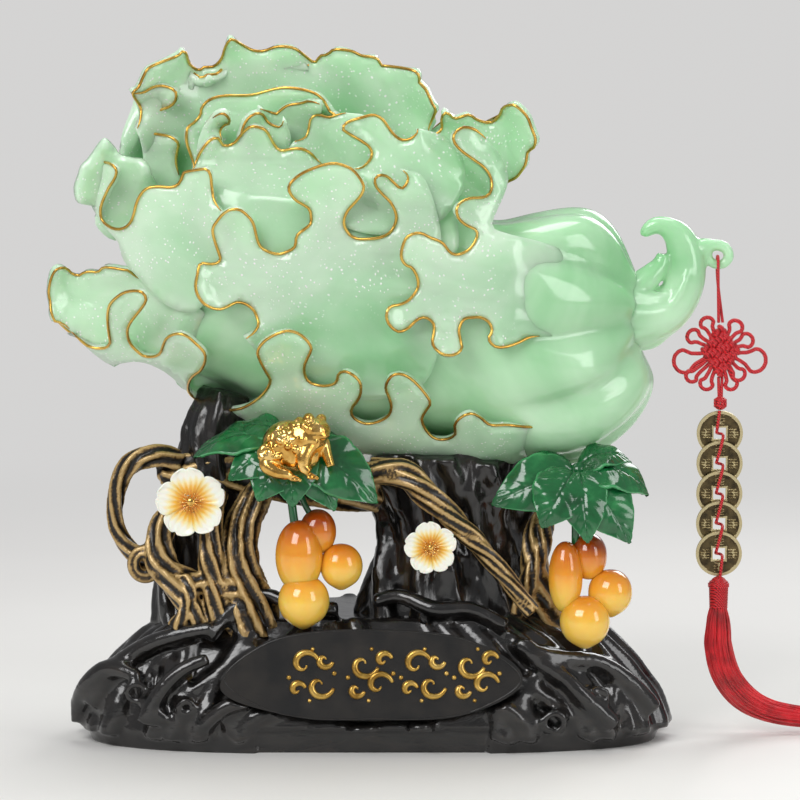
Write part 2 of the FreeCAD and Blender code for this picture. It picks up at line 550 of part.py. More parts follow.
def plane_of(body, role):
    return next(feature for feature in body.Origin.OriginFeatures if feature.Role == role)


def square_lines(sketch, alias):
    """A square about the sketch's centre, its side tied to the sheet."""
    half = size(alias) / 2
    corners = [V(-half, -half, 0), V(half, -half, 0), V(half, half, 0), V(-half, half, 0)]
    first = sketch.GeometryCount
    for i in range(4):
        sketch.addGeometry(Part.LineSegment(corners[i], corners[(i + 1) % 4]))
    for i in range(4):
        sketch.addConstraint(Sketcher.Constraint("Coincident", first + i, 2, first + (i + 1) % 4, 1))
    for i, way in enumerate(("Horizontal", "Vertical", "Horizontal", "Vertical")):
        sketch.addConstraint(Sketcher.Constraint(way, first + i))
    sketch.addConstraint(Sketcher.Constraint("Symmetric", first, 1, first + 1, 2, -1, 1))
    for line, name in ((first, "wide"), (first + 1, "high")):
        way = "DistanceX" if name == "wide" else "DistanceY"
        number = sketch.addConstraint(Sketcher.Constraint(way, line, 1, line, 2, size(alias)))
        label = f"{name}_{first}"
        sketch.renameConstraint(number, label)
        sketch.setExpression(f"Constraints.{label}", f"Sizes.{alias}")


def centred_circle(sketch, expression, radius):
    curve = sketch.addGeometry(Part.Circle(V(0, 0, 0), V(0, 0, 1), radius))
    sketch.addConstraint(Sketcher.Constraint("Coincident", curve, 3, -1, 1))
    number = sketch.addConstraint(Sketcher.Constraint("Radius", curve, radius))
    label = f"radius_{curve}"
    sketch.renameConstraint(number, label)
    sketch.setExpression(f"Constraints.{label}", expression)


def upright_pad(body, name, thickness, draw):
    sketch = body.newObject("Sketcher::SketchObject", name + "_sketch")
    sketch.AttachmentSupport = [(plane_of(body, "XZ_Plane"), "")]
    sketch.MapMode = "FlatFace"
    draw(sketch)
    pad = body.newObject("PartDesign::Pad", name)
    pad.Profile = sketch
    pad.SideType = "Symmetric"
    pad.setExpression("Length", thickness)
    body.Tip = pad
    return pad


def coin(number):
    """A cash coin: a thin disc with a square hole and a raised rim round both."""
    body = doc.addObject("PartDesign::Body", f"coin_{number}")

    def disc(sketch):
        centred_circle(sketch, "Sizes.coin_radius", size("coin_radius"))
        square_lines(sketch, "coin_hole")

    def rim(sketch):
        centred_circle(sketch, "Sizes.coin_radius", size("coin_radius"))
        centred_circle(sketch, "Sizes.coin_radius - Sizes.coin_rim", size("coin_radius") - size("coin_rim"))

    def hole_rim(sketch):
        square_lines(sketch, "coin_hole")
        square_lines(sketch, "coin_hole_rim")

    upright_pad(body, "disc", "Sizes.coin_thickness - 2 * Sizes.coin_relief", disc)
    upright_pad(body, "rim", "Sizes.coin_thickness", rim)
    upright_pad(body, "hole_rim", "Sizes.coin_thickness", hole_rim)
    lean = FreeCAD.Rotation(V(1, 0, 0), size("coin_lean"))
    body.Placement = FreeCAD.Placement(V(0, 0, 0), lean)
    bind(body, **{"Placement.Base.x": "Sizes.string_x",
                  "Placement.Base.z": f"Sizes.first_coin_z - {number - 1} * Sizes.coin_pitch"})
    return name_node(body, f"coin_{number}")


for number in range(1, COINS + 1):
    coin(number)

# The cord passes down in front of each coin, in through its hole and out again beside itself
lean = math.radians(size("coin_lean"))
cord_front = -(size("coin_radius") * math.sin(lean) + size("coin_thickness") / 2 + play + cord / 2)
cord_back = size("coin_thickness") / 2 + play + cord / 2
aside = size("coin_hole") / 2 - cord / 2 - play * 2
coin_cord_points = [V(string_x - 0.4, cord_front + 0.6, size("button_z") - size("button_radius") - 0.2)]
for number in range(COINS):
    z = size("first_coin_z") - number * size("coin_pitch")
    coin_cord_points += [V(string_x - aside, cord_front, z + 1.3), V(string_x - aside, cord_back, z - 0.1),
                         V(string_x + aside, cord_back, z - 0.5), V(string_x + aside, cord_front, z - 1.9)]
coin_cord_points.append(V(string_x + 0.6, -1.0, size("tassel_head_top") + 0.45))
shape_node("coin_cord", cord_along(coin_cord_points, "coin_cord", cord))

# Tassel: a wrapped bead and neck over a skirt of silk threads that lies out on the table
head_top = size("tassel_head_top")
head_low = head_top - size("tassel_head_height")
bead = doc.addObject("Part::Ellipsoid", "tassel_bead")
bind(bead, Radius1="Sizes.tassel_bead_rise", Radius2="Sizes.tassel_head_radius",
     Radius3="Sizes.tassel_head_radius")
bind(bead, **{"Placement.Base.x": "Sizes.string_x",
              "Placement.Base.z": "Sizes.tassel_head_top - Sizes.tassel_bead_rise"})
neck = doc.addObject("Part::Cone", "tassel_neck")
bind(neck, Radius1="Sizes.tassel_neck_radius", Radius2="Sizes.tassel_shoulder_radius",
     Height="Sizes.tassel_head_height - Sizes.tassel_bead_rise")
bind(neck, **{"Placement.Base.x": "Sizes.string_x",
              "Placement.Base.z": "Sizes.tassel_head_top - Sizes.tassel_head_height"})
head = doc.addObject("Part::MultiFuse", "tassel_head")
head.Shapes = [bead, neck]
name_node(head, "tassel_head")

skirt_stations = [(string_x, head_low, 0, size("tassel_neck_radius")), (180.2, 57.5, 0, 7.0), (180.2, 47, 0, 8.1),
                  (183, 35.5, 0, 8.3), (188.6, 25.4, 0, 8.1), (197, 17.2, 1, 7.5), (208.5, 11.6, 2, 6.6),
                  (222, 9.2, 3, 6.0), (236, 8.4, 3, 5.6)]
rings = []
skirt_points = [V(x, y, z) for x, z, y, radius in skirt_stations]
for i, point in enumerate(skirt_points):
    before, after = skirt_points[max(i - 1, 0)], skirt_points[min(i + 1, len(skirt_points) - 1)]
    along = V(0, 0, -1) if i == 0 else after - before
    rings.append(circle_at(point, along, skirt_stations[i][3]))
shape_node("tassel_skirt", Part.makeLoft(rings, True, False))

# Checks and export
doc.recompute()
for piece in doc.Objects:
    if "Invalid" in piece.State or "Error" in piece.State:
        raise ValueError(f"{piece.Label} failed: {piece.State}")
for piece in nodes:
    if piece.Shape.isNull() or not piece.Shape.isValid():
        raise ValueError(f"{piece.Label} has no valid shape")
    if len(piece.Shape.Solids) != 1:
        raise ValueError(f"{piece.Label} has {len(piece.Shape.Solids)} solids")
os.makedirs("parts", exist_ok=True)
for piece in nodes:
    piece.Shape.exportStep(f"parts/{piece.Label}.step")
    print(piece.Label, round(piece.Shape.Volume))
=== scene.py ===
import math
import random

import bpy
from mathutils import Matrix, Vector, geometry, kdtree, noise


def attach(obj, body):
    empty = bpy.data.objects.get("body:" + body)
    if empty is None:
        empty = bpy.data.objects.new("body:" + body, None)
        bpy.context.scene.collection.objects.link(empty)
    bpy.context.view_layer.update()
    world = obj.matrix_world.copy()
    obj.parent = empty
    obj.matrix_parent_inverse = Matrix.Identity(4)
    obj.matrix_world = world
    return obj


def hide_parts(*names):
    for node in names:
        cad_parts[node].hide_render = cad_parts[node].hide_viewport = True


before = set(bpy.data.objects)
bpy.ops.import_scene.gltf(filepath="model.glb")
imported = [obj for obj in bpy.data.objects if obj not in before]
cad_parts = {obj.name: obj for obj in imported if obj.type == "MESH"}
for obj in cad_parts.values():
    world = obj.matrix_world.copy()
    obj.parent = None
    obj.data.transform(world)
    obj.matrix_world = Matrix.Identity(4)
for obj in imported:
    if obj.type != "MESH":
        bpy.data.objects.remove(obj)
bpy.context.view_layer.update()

# The root base. The real one is cast black resin carved like a gnarled root, highly glossed,
# with root strands that run down over it to the table and knot holes between them. It rests
# on the table on its underside and carries everything else.
MM = 0.001
VIEW = (14.0, -2190.0, 406.0)


def seen(x, z, y=0.0):
    """A place drawn in the front view, in millimetres, brought to depth y along the line of sight."""
    near = y / -VIEW[1]
    return Vector((x + (x - VIEW[0]) * near, y, z + (z - VIEW[2]) * near)) * MM


def smooth_line(points, steps=8, closed=False):
    """A smooth line through points of any number of coordinates."""
    count = len(points)
    line = []
    for i in range(count if closed else count - 1):
        if closed:
            a, b, c, d = (points[(i + k - 1) % count] for k in range(4))
        else:
            a, b, c, d = points[max(i - 1, 0)], points[i], points[i + 1], points[min(i + 2, count - 1)]
        for step in range(steps):
            t = step / steps
            line.append(tuple(0.5 * (2 * q + (r - p) * t + (2 * p - 5 * q + 4 * r - s) * t * t
                                     + (3 * q - p - 3 * r + s) * t ** 3) for p, q, r, s in zip(a, b, c, d)))
    if not closed:
        line.append(tuple(points[-1]))
    return line


def tube_faces(rings, sides, capped=True):
    """Faces round a tube of so many rings of points, closed at both ends if capped."""
    faces = []
    for i in range(rings - 1):
        for k in range(sides):
            a, b = i * sides + k, i * sides + (k + 1) % sides
            faces.append((a, b, b + sides, a + sides))
    if capped:
        faces += [tuple(range(sides))[::-1], tuple((rings - 1) * sides + k for k in range(sides))]
    return faces


def swept(places, radii, sides=14, ridges=0, ridge=0.0, twist=0.0, flat=1.0):
    """A closed limb along places, with ridges along it that twist by so many turns, as a shape.

    A shape is a list of points in metres, a list of faces and a list of heights at the points.
    """
    points, heights = [], []
    count = len(places)
    side = None
    for i, place in enumerate(places):
        along = (places[min(i + 1, count - 1)] - places[max(i - 1, 0)]).normalized()
        if side is None:
            side = along.cross(Vector((0, 1, 0)) if abs(along.y) < 0.9 else Vector((1, 0, 0))).normalized()
        side = (side - along * side.dot(along)).normalized()
        up = along.cross(side)
        for k in range(sides):
            turn = 2 * math.pi * k / sides
            wave = 0.5 + 0.5 * math.cos(ridges * (turn + twist * 2 * math.pi * i / count)) if ridges else 0.5
            wave += 0.35 * noise.noise(place * 160 + Vector((k * 0.8, 0, 0))) if ridges else 0
            radius = radii[i] * (1 + ridge * (wave - 0.5))
            points.append(place + side * (math.cos(turn) * radius) + up * (math.sin(turn) * radius * flat))
            heights.append(wave)
    return points, tube_faces(count, sides), heights


def limb(stations, steps=6, **shape):
    """A limb through (x, z, y, radius) stations drawn in the front view, in millimetres."""
    line = smooth_line(stations, steps)
    return swept([seen(x, z, y) for x, z, y, radius in line], [s[3] * MM for s in line], **shape)


def ring_line(x, z, y, radius, tall, bar):
    """Stations of a ring seen from the front: its middle, radius, height over width and thickness."""
    turns = [t * math.pi / 8 for t in range(17)]
    return [(x + radius * math.cos(turn), z + radius * tall * math.sin(turn), y, bar) for turn in turns]


def together(shapes):
    """One shape of many: their points, their faces, and whatever else they hold at each point."""
    points, faces, *held = ([] for _ in shapes[0])
    for shape in shapes:
        faces += [tuple(v + len(points) for v in face) for face in shape[1]]
        points += shape[0]
        for values, added in zip(held, shape[2:]):
            values += added
    return points, faces, *held


def mark(mesh, name, values):
    """A number kept at each point of a mesh, for its material to read."""
    mesh.attributes.new(name, "FLOAT", "POINT").data.foreach_set("value", values)


def piece(name, shape, material, body="carving", smooth=True):
    """A mesh object of the carving with its material, riding on a body."""
    mesh = bpy.data.meshes.new(name)
    mesh.from_pydata([tuple(p) for p in shape[0]], [], shape[1])
    mesh.validate()
    mesh.materials.append(material)
    if len(shape) > 2 and len(shape[2]) == len(mesh.vertices):
        mark(mesh, "height", shape[2])
    for face in mesh.polygons:
        face.use_smooth = smooth
    made = bpy.data.objects.new(name, mesh)
    bpy.context.scene.collection.objects.link(made)
    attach(made, body)
    return made


def settled(made):
    """Applies the modifiers of a piece to its mesh."""
    bpy.context.view_layer.update()
    mesh = bpy.data.meshes.new_from_object(made.evaluated_get(bpy.context.evaluated_depsgraph_get()))
    made.modifiers.clear()
    made.data = mesh
    for face in mesh.polygons:
        face.use_smooth = True


def melted(made, grain, rounds=6, factor=0.5):
    """Joins a piece's overlapping lumps into one skin of a grain in millimetres and smooths it."""
    remesh = made.modifiers.new("skin", "REMESH")
    remesh.mode = "VOXEL"
    remesh.voxel_size = grain * MM
    soften = made.modifiers.new("soften", "SMOOTH")
    soften.iterations = rounds
    soften.factor = factor
    settled(made)


def surface(name, colour, roughness, **sockets):
    """A material, its tree and its shader, ready for the pattern of the real finish."""
    material = bpy.data.materials.new(name)
    material.use_nodes = True
    tree = material.node_tree
    shader = tree.nodes["Principled BSDF"]
    shader.inputs["Base Color"].default_value = (*colour, 1)
    shader.inputs["Roughness"].default_value = roughness
    for socket, value in sockets.items():
        shader.inputs[socket.replace("_", " ")].default_value = value
    return material, tree, shader


def node(tree, kind, inputs=(), **settings):
    """One shader node; inputs pair a socket's name or number with a value or another node's output."""
    made = tree.nodes.new("ShaderNode" + kind)
    for name, value in settings.items():
        setattr(made, name, value)
    for socket, value in dict(inputs).items():
        if isinstance(value, bpy.types.NodeSocket):
            tree.links.new(value, made.inputs[socket])
        else:
            made.inputs[socket].default_value = value
    return made


def place_of(tree):
    return node(tree, "TexCoord").outputs["Object"]


def stretched(tree, *scale):
    """Coordinates drawn out along the grain of a material."""
    return node(tree, "Mapping", {"Vector": place_of(tree), "Scale": scale}).outputs[0]


def cloudy(tree, scale, detail=4.0, distortion=0.0, place=None):
    return node(tree, "TexNoise", {"Vector": place or place_of(tree), "Scale": scale, "Detail": detail,
                                   "Distortion": distortion}).outputs[0]


def ramp(tree, factor, stops):
    """Colours blended along a factor: a list of (position, (r, g, b))."""
    made = node(tree, "ValToRGB", {"Fac": factor})
    band = made.color_ramp
    while len(band.elements) < len(stops):
        band.elements.new(0.5)
    for element, (position, colour) in zip(band.elements, stops):
        element.position = position
        element.color = (*colour, 1)
    return made.outputs["Color"]


def coloured(tree, shader, factor, stops):
    """Colours blended along a factor, as the base colour of a shader."""
    tree.links.new(ramp(tree, factor, stops), shader.inputs["Base Color"])


def raised(tree, shader, height, strength, distance, over=None):
    """A bump of so many metres on a shader, on top of an earlier one if given."""
    inputs = {"Height": height, "Strength": strength, "Distance": distance}
    if over:
        inputs["Normal"] = over
    bump = node(tree, "Bump", inputs).outputs[0]
    tree.links.new(bump, shader.inputs["Normal"])
    return bump


lacquer, tree, shader = surface("black_lacquer", (0.008, 0.007, 0.007), 0.16, Coat_Weight=0.5,
                                Coat_Roughness=0.06)
streaks = cloudy(tree, 55.0, 6.0, 1.2, stretched(tree, 1.0, 1.0, 2.6))
coloured(tree, shader, streaks, [(0.35, (0.004, 0.004, 0.004)), (0.62, (0.014, 0.012, 0.011)),
                                 (0.85, (0.03, 0.022, 0.015))])
polish = node(tree, "MapRange", {"Value": cloudy(tree, 30.0), "To Min": 0.09, "To Max": 0.3})
tree.links.new(polish.outputs[0], shader.inputs["Roughness"])
coarse_bump = raised(tree, shader, streaks, 0.35, 0.0016)
raised(tree, shader, cloudy(tree, 240.0, 3.0), 0.12, 0.0005, coarse_bump)

HALF_LENGTH, HALF_WIDTH, ROOT_HEIGHT = 154.5, 64.0, 68.0
# From foot 0 to top 1: the shares of the half length and of the half width
ROOT_LEVELS = [(0.0, 0.985, 0.97), (0.12, 1.0, 0.99), (0.34, 0.965, 0.96), (0.58, 0.895, 0.9),
               (0.8, 0.8, 0.8), (1.0, 0.634, 0.656)]
ROUNDNESS = 0.75


def on_root(turn, rise, lift=0.0):
    """A place on the root's flank: turn round it in degrees, rise from foot 0 to top 1, lift off it in mm."""
    lower = max(i for i, level in enumerate(ROOT_LEVELS[:-1]) if level[0] <= max(rise, 0))
    a, b = ROOT_LEVELS[lower], ROOT_LEVELS[lower + 1]
    t = (rise - a[0]) / (b[0] - a[0])
    length = a[1] + (b[1] - a[1]) * t
    depth = a[2] + (b[2] - a[2]) * t
    c, s = math.cos(math.radians(turn)), math.sin(math.radians(turn))
    return Vector((math.copysign(abs(c) ** ROUNDNESS, c) * (HALF_LENGTH * length + lift),
                   math.copysign(abs(s) ** ROUNDNESS, s) * (HALF_WIDTH * depth + lift),
                   rise * ROOT_HEIGHT)) * MM


def strand(path, radii):
    """One root strand laid over the flank along (turn, rise, lift) stations."""
    line = smooth_line([(*station, r) for station, r in zip(path, radii)], 5)
    places = [on_root(turn, rise, lift) for turn, rise, lift, r in line]
    return swept(places, [station[3] * MM for station in line], sides=10)


random.seed(11)
CORE_SIDES, CORE_SINK = 72, -4.5
CORE_RISES = (-0.05, 0.12, 0.24, 0.36, 0.5, 0.64, 0.78, 0.9, 0.985)
core_points = [on_root(k * 360 / CORE_SIDES, rise, CORE_SINK)
               for rise in CORE_RISES for k in range(CORE_SIDES)]
root_parts = [(core_points, tube_faces(len(CORE_RISES), CORE_SIDES), [0.5] * len(core_points))]
DOWN_STRANDS, CROSS_STRANDS, THICKEST = 34, 16, 7.0
for number in range(DOWN_STRANDS):
    turn = number * 360 / DOWN_STRANDS + random.uniform(-4, 4)
    swing = random.uniform(-13, 13)
    thick = random.uniform(4.6, 8.6)
    path = [(turn + swing, 0.97, -6), (turn + swing * 0.5, 0.76, -4.6), (turn - swing * 0.1, 0.5, -4.2),
            (turn - swing * 0.4, 0.28, -4.0), (turn - swing * 0.25, 0.1, -4.5)]
    root_parts.append(strand(path, [min(thick * k, THICKEST) for k in (0.75, 0.7, 0.72, 0.85, 1.0)]))
for number in range(CROSS_STRANDS):
    turn = number * 360 / CROSS_STRANDS + random.uniform(-6, 6)
    swing = random.choice((-1, 1)) * random.uniform(18, 30)
    path = [(turn, 0.8, -4), (turn + swing * 0.4, 0.55, -2.8), (turn + swing * 0.8, 0.3, -3.0),
            (turn + swing, 0.14, -5)]
    root_parts.append(strand(path, [3.2, 3.8, 3.6, 4.2]))
# Knot rings as (x, z, y, radius, thickness), and flowing folds that show in front
for x, z, y, radius, bar in [(-70, 4, -57, 6.2, 2.4), (95, 6, -57, 5.6, 2.2), (-66, 60, -40, 7.4, 2.6),
                             (-98, 14, -57, 4.2, 1.8), (79, 46, -50, 4.2, 2.0), (118, 20, -50, 5.0, 2.0),
                             (-124, 22, -50, 5.2, 2.0), (-113, 8, -56, 3.8, 1.6)]:
    root_parts.append(limb(ring_line(x, z, y, radius, 0.86, bar), 2, sides=10))
FOLDS = [
    [(-157, 8, -18, 4.5), (-150, 25, -30, 5.5), (-138, 35, -38, 5), (-122, 30, -48, 4)],
    [(77, 47, -48, 4), (85, 43, -50, 4.4), (100, 40, -46, 4.6), (118, 38, -38, 4.6), (135, 27, -34, 5),
     (147, 13, -30, 5.5)],
    [(80, 42, -50, 3.6), (100, 30, -52, 4.4), (110, 20, -54, 4.6), (126, 5, -50, 5.5)],
    [(0, 70, -38, 4), (14, 73, -36, 4.4), (32, 66, -42, 5), (52, 66, -42, 4.4), (70, 57, -46, 4)],
    [(-18, 66, -42, 4.5), (-40, 68, -40, 4), (-58, 74, -34, 4), (-74, 66, -38, 4.2), (-86, 50, -46, 4)],
    [(-84, 56, -46, 4), (-104, 52, -42, 5), (-120, 46, -38, 5), (-136, 34, -34, 5.5), (-148, 16, -30, 6)],
    [(-86, 40, -54, 3.6), (-100, 34, -54, 4.2), (-112, 22, -54, 4.6), (-120, 6, -52, 5)],
    [(66, 16, -60, 4), (74, 10, -60, 4), (80, 4, -58, 4.4)],
    [(-64, 18, -60, 4), (-78, 14, -60, 4.2), (-90, 3, -57, 4.4)]]
root_parts += [limb(fold, 5, sides=12) for fold in FOLDS]
root = piece("carved_root", together(root_parts), lacquer)
melted(root, 1.7, 9)
# The skin is kept off the plaque and off the table, and within the length of the base
BEHIND_PLAQUE, BEHIND_FOOT, ROOT_END = -0.0545, -0.0525, 0.1565
for vertex in root.data.vertices:
    x, y, z = vertex.co / MM
    across, up = x / 80.0, (z - 42) / 25.5
    if across * across + up * up < 1.06 and y < -40:
        vertex.co.y = max(vertex.co.y, BEHIND_PLAQUE)
    if abs(x) < 60 and z < 12 and y < -46:
        vertex.co.y = max(vertex.co.y, BEHIND_FOOT)
    vertex.co.z = max(vertex.co.z, 0.0)
    vertex.co.x = max(min(vertex.co.x, ROOT_END), -ROOT_END)
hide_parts("root_base")

# The plaque. The real one is a flat oval plate, cast into the front of the root and lacquered
# black, with raised gold ornament across its middle and a fine raised edge. Here the ornament
# is a row of four plain scrolls. The plate keeps its CAD shape.


def dressed(name, material):
    """Gives a CAD node that stays in view its material and slot."""
    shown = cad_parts[name]
    shown.data.materials.clear()
    shown.data.materials.append(material)


plate, tree, shader = surface("plaque_black", (0.010, 0.009, 0.009), 0.22, Coat_Weight=0.4,
                              Coat_Roughness=0.05)
coloured(tree, shader, cloudy(tree, 70.0, 5.0), [(0.35, (0.006, 0.006, 0.006)),
                                                 (0.75, (0.022, 0.019, 0.016))])
raised(tree, shader, cloudy(tree, 160.0, 4.0), 0.14, 0.0006)
dressed("plaque", plate)
brushed, tree, shader = surface("brushed_gold", (0.50, 0.30, 0.07), 0.3, Metallic=0.9)
coloured(tree, shader, cloudy(tree, 120.0, 5.0, 0.5), [(0.3, (0.30, 0.16, 0.03)), (0.55, (0.62, 0.39, 0.09)),
                                                       (0.8, (0.78, 0.55, 0.2))])
raised(tree, shader, cloudy(tree, 500.0, 3.0), 0.35, 0.0003)
PLAQUE_MIDDLE, PLAQUE_LEAN, PLAQUE_FRONT = 42.0, math.radians(8.0), -62.0


def on_plaque(x, up, out=0.0):
    """A place on the plaque's face, x across it and up from its middle, out of it in millimetres."""
    return Vector((x, PLAQUE_FRONT + up * math.sin(PLAQUE_LEAN) - out * math.cos(PLAQUE_LEAN),
                   PLAQUE_MIDDLE + up * math.cos(PLAQUE_LEAN) + out * math.sin(PLAQUE_LEAN))) * MM


def scroll(x, up, turn, large):
    """A curling line of ornament round a place of the plaque, wound the way of turn, large across."""
    rows = []
    for i in range(30):
        t = i / 29
        spin = turn * (0.2 + 5.6 * t)
        radius = large * (1 - 0.86 * t)
        rows.append((x + radius * math.cos(spin), up + radius * math.sin(spin),
                     0.6 + 1.25 * math.sin(math.pi * min(1, t * 1.1 + 0.08))))
    return swept([on_plaque(a, b, 0.25) for a, b, r in rows], [r * MM for a, b, r in rows], sides=8)


motif_parts = []
for middle, turn in ((-31, 1), (-1, -1), (26, 1), (53, -1)):
    for x, up, bend, large in ((-3.6, 5.2, turn, 7.6), (4.2, -5.4, -turn, 7.2), (6.6, 7.4, -turn, 4.4),
                               (-7.2, -7.6, turn, 4.2)):
        motif_parts.append(scroll(middle + x, up, bend, large))
    for x, up, dot in ((-11.5, -1.5, 1.3), (11.6, 0.6, 1.3), (0.6, 13.0, 1.1), (-1.0, -13.2, 1.1)):
        dot_at = on_plaque(middle + x, up, 0.2)
        places = [dot_at + Vector((0, out, 0)) * MM for out in (0.5, 0.0, -0.8)]
        motif_parts.append(swept(places, [dot * MM, dot * MM, dot * 0.5 * MM], sides=10))
piece("plaque_scrolls", together(motif_parts), brushed)
PLAQUE_SHARES = [(-1, -0.1), (-0.72, 0.7), (-0.35, 0.97), (0, 1), (0.35, 0.95), (0.7, 0.7), (1, -0.1),
                 (0.7, -0.8), (0.35, -1), (0, -1), (-0.35, -1), (-0.7, -0.8)]
edge_line = smooth_line([(76.5 * 0.985 * a, 23.0 * 0.97 * b) for a, b in PLAQUE_SHARES], 10, closed=True)
edge_line.append(edge_line[0])
edge = swept([on_plaque(a, b, 0.05) for a, b in edge_line], [0.24 * MM] * len(edge_line), sides=6)
piece("plaque_edge", edge, lacquer)

# The trunks and branches. They are cast with the root: black with long grooves, and their
# ridges brushed with dull gold, so that they look like twisted old wood. The bare middle
# trunk stays black. They stand in the root and hold the cabbage up.


def kept(tree, name):
    """A number kept at the points of a mesh."""
    return node(tree, "Attribute", attribute_name=name).outputs["Fac"]


def sums(tree, how, a, b):
    return node(tree, "Math", {0: a, 1: b}, operation=how).outputs[0]


black_bark, tree, shader = surface("black_bark", (0.01, 0.009, 0.009), 0.22, Coat_Weight=0.35,
                                   Coat_Roughness=0.1)
bark = cloudy(tree, 60.0, 6.0, 0.8, stretched(tree, 1.6, 1.6, 0.45))
coloured(tree, shader, bark, [(0.35, (0.004, 0.004, 0.004)), (0.6, (0.012, 0.010, 0.009)),
                              (0.85, (0.04, 0.028, 0.016))])
raised(tree, shader, bark, 0.6, 0.002)
gilt_bark, tree, shader = surface("gilded_bark", (0.2, 0.13, 0.05), 0.36, Metallic=0.35, Coat_Weight=0.2)
fine = cloudy(tree, 420.0, 5.0, 0.4)
worn = sums(tree, "ADD", sums(tree, "MULTIPLY", kept(tree, "height"), 0.85),
            sums(tree, "MULTIPLY", fine, 0.42))
coloured(tree, shader, worn, [(0.42, (0.010, 0.008, 0.006)), (0.60, (0.10, 0.058, 0.018)),
                              (0.74, (0.34, 0.215, 0.075)), (0.92, (0.50, 0.34, 0.14))])
raised(tree, shader, fine, 0.4, 0.0008)


def carry_heights(made, source):
    """Gives a melted skin the ridge heights of the shape that it was made from."""
    tree_of = kdtree.KDTree(len(source[0]))
    for i, place in enumerate(source[0]):
        tree_of.insert(place, i)
    tree_of.balance()
    values = []
    for vertex in made.data.vertices:
        near = tree_of.find_n(vertex.co, 3)
        values.append(sum(source[2][i] for _, i, _ in near) / len(near))
    mark(made.data, "height", values)


def bark_limb(stations, ridges=6, ridge=0.36, twist=0.6, steps=9):
    return limb(stations, steps, sides=36, ridges=ridges, ridge=ridge, twist=twist)


def branch(name, node_name, material, grain, parts, rounds=2):
    """Branches grown together, with their ridges kept, in place of a CAD node."""
    source = together(parts)
    made = piece(name, source[:2], material)
    melted(made, grain, rounds, 0.45)
    carry_heights(made, source)
    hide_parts(node_name)


trunk_parts = []
for x, y, low, high, thick in ((14, -12, 60, 150, 16), (34, -20, 58, 148, 15), (56, -16, 58, 146, 15),
                               (72, -2, 58, 148, 15), (62, 16, 58, 152, 15), (36, 20, 58, 152, 16),
                               (14, 12, 58, 154, 15), (40, 0, 58, 152, 26)):
    lean = (x - 41) * 0.16
    trunk_parts.append(bark_limb([
        (x + lean, low, y * 1.15, thick * 1.15), (x, 84, y, thick),
        (x - lean * 0.8, 108, y * 0.85, thick * 0.9), (x - lean * 0.3, 130, y * 0.9, thick),
        (x, high, y, thick * 0.9)], ridges=5, twist=0.3))
branch("trunk_middle", "trunk_centre", black_bark, 1.6, trunk_parts, 3)
left_parts = []
for x, y, thick in ((-103, -6, 12), (-92, -12, 12), (-80, -8, 12), (-80, 10, 13), (-98, 10, 12),
                    (-90, 0, 16)):
    left_parts.append(bark_limb([
        (x * 0.94 - 4, 58, y * 1.3, thick * 1.2), (x, 84, y, thick * 0.9), (x + 2, 108, y, thick * 0.86),
        (x + 8, 132, y, thick * 0.8), (x * 0.5 - 38, 158, y * 0.8, thick * 0.85),
        (x * 0.4 - 40, 180, y * 0.6, thick * 0.7)], ridges=5, twist=0.4))
branch("trunk_far_left", "trunk_left", black_bark, 1.6, left_parts, 3)
branch("bough_twisted", "bough", gilt_bark, 1.1, [
    bark_limb([(-112, 141, -8, 6.5), (-86, 142, -12, 7.0), (-58, 139, -10, 7.6), (-30, 134, -12, 8),
               (0, 131, -10, 8.4), (24, 129, -8, 10)], ridges=5, twist=1.0),
    bark_limb([(-110, 137, -12, 5), (-84, 134, -14, 6), (-56, 131, -13, 6.4), (-28, 126, -14, 6.4),
               (0, 124, -12, 6.6), (22, 122, -9, 8)], ridges=5, twist=-1.0)])
branch("branch_left_loop", "branch_loop_left", gilt_bark, 0.8, [
    bark_limb([(-100, 143, -14, 5.6), (-112, 147, -16, 5.4), (-124, 144, -17, 5.2), (-132, 134, -18, 4.6),
               (-134.5, 120, -18, 4.0), (-133, 107, -18, 4.0), (-126, 97, -19, 4.4), (-114, 90, -21, 6.0)],
              ridges=5, ridge=0.4, twist=0.8)])
stump_parts = [
    bark_limb([(-94, 128, -20, 4.5), (-104, 118, -25, 5.5), (-111, 106, -28, 6.6), (-111, 92, -30, 7.4),
               (-104, 80, -34, 6.6), (-95, 66, -38, 5.5), (-93, 55, -38, 5.5)]),
    bark_limb([(-112, 90, -29, 6.0), (-99, 82, -33, 6.0), (-86, 79, -35, 5.0), (-70, 74, -34, 6.0)],
              ridges=5),
    bark_limb([(-80, 128, -24, 4.5), (-84, 112, -31, 5), (-85, 92, -34, 6.0), (-83, 74, -37, 5.6),
               (-81, 55, -38, 6)]),
    bark_limb([(-58, 130, -20, 7.0), (-68, 110, -26, 8.5), (-70, 90, -29, 9.6), (-64, 68, -31, 12),
               (-62, 54, -30, 14)], ridges=9, twist=0.25),
    bark_limb([(-98, 84, -36, 3.4), (-96, 74, -40, 3.6), (-99, 64, -42, 3.2), (-104, 56, -42, 4)], ridges=4)]
for radius, bar in ((7.2, 2.6), (4.6, 1.9)):
    knot_ring = ring_line(-119, 90, -26 - (7.2 - radius) * 0.6, radius, 1.1, bar)
    stump_parts.append(limb(knot_ring, 2, sides=12, ridges=3, ridge=0.2))
branch("stump_gilded", "stump_left", gilt_bark, 0.85, stump_parts)
FRONT_TWIST = [(-4, 138, -28, 8), (14, 138, -34, 7.4), (27, 128, -39, 7), (40, 115, -41, 6.2),
               (52, 103, -42, 5.4), (62, 92, -43, 4.8), (73, 78, -44, 4.6), (83, 64, -45, 4.6)]
front_parts = []
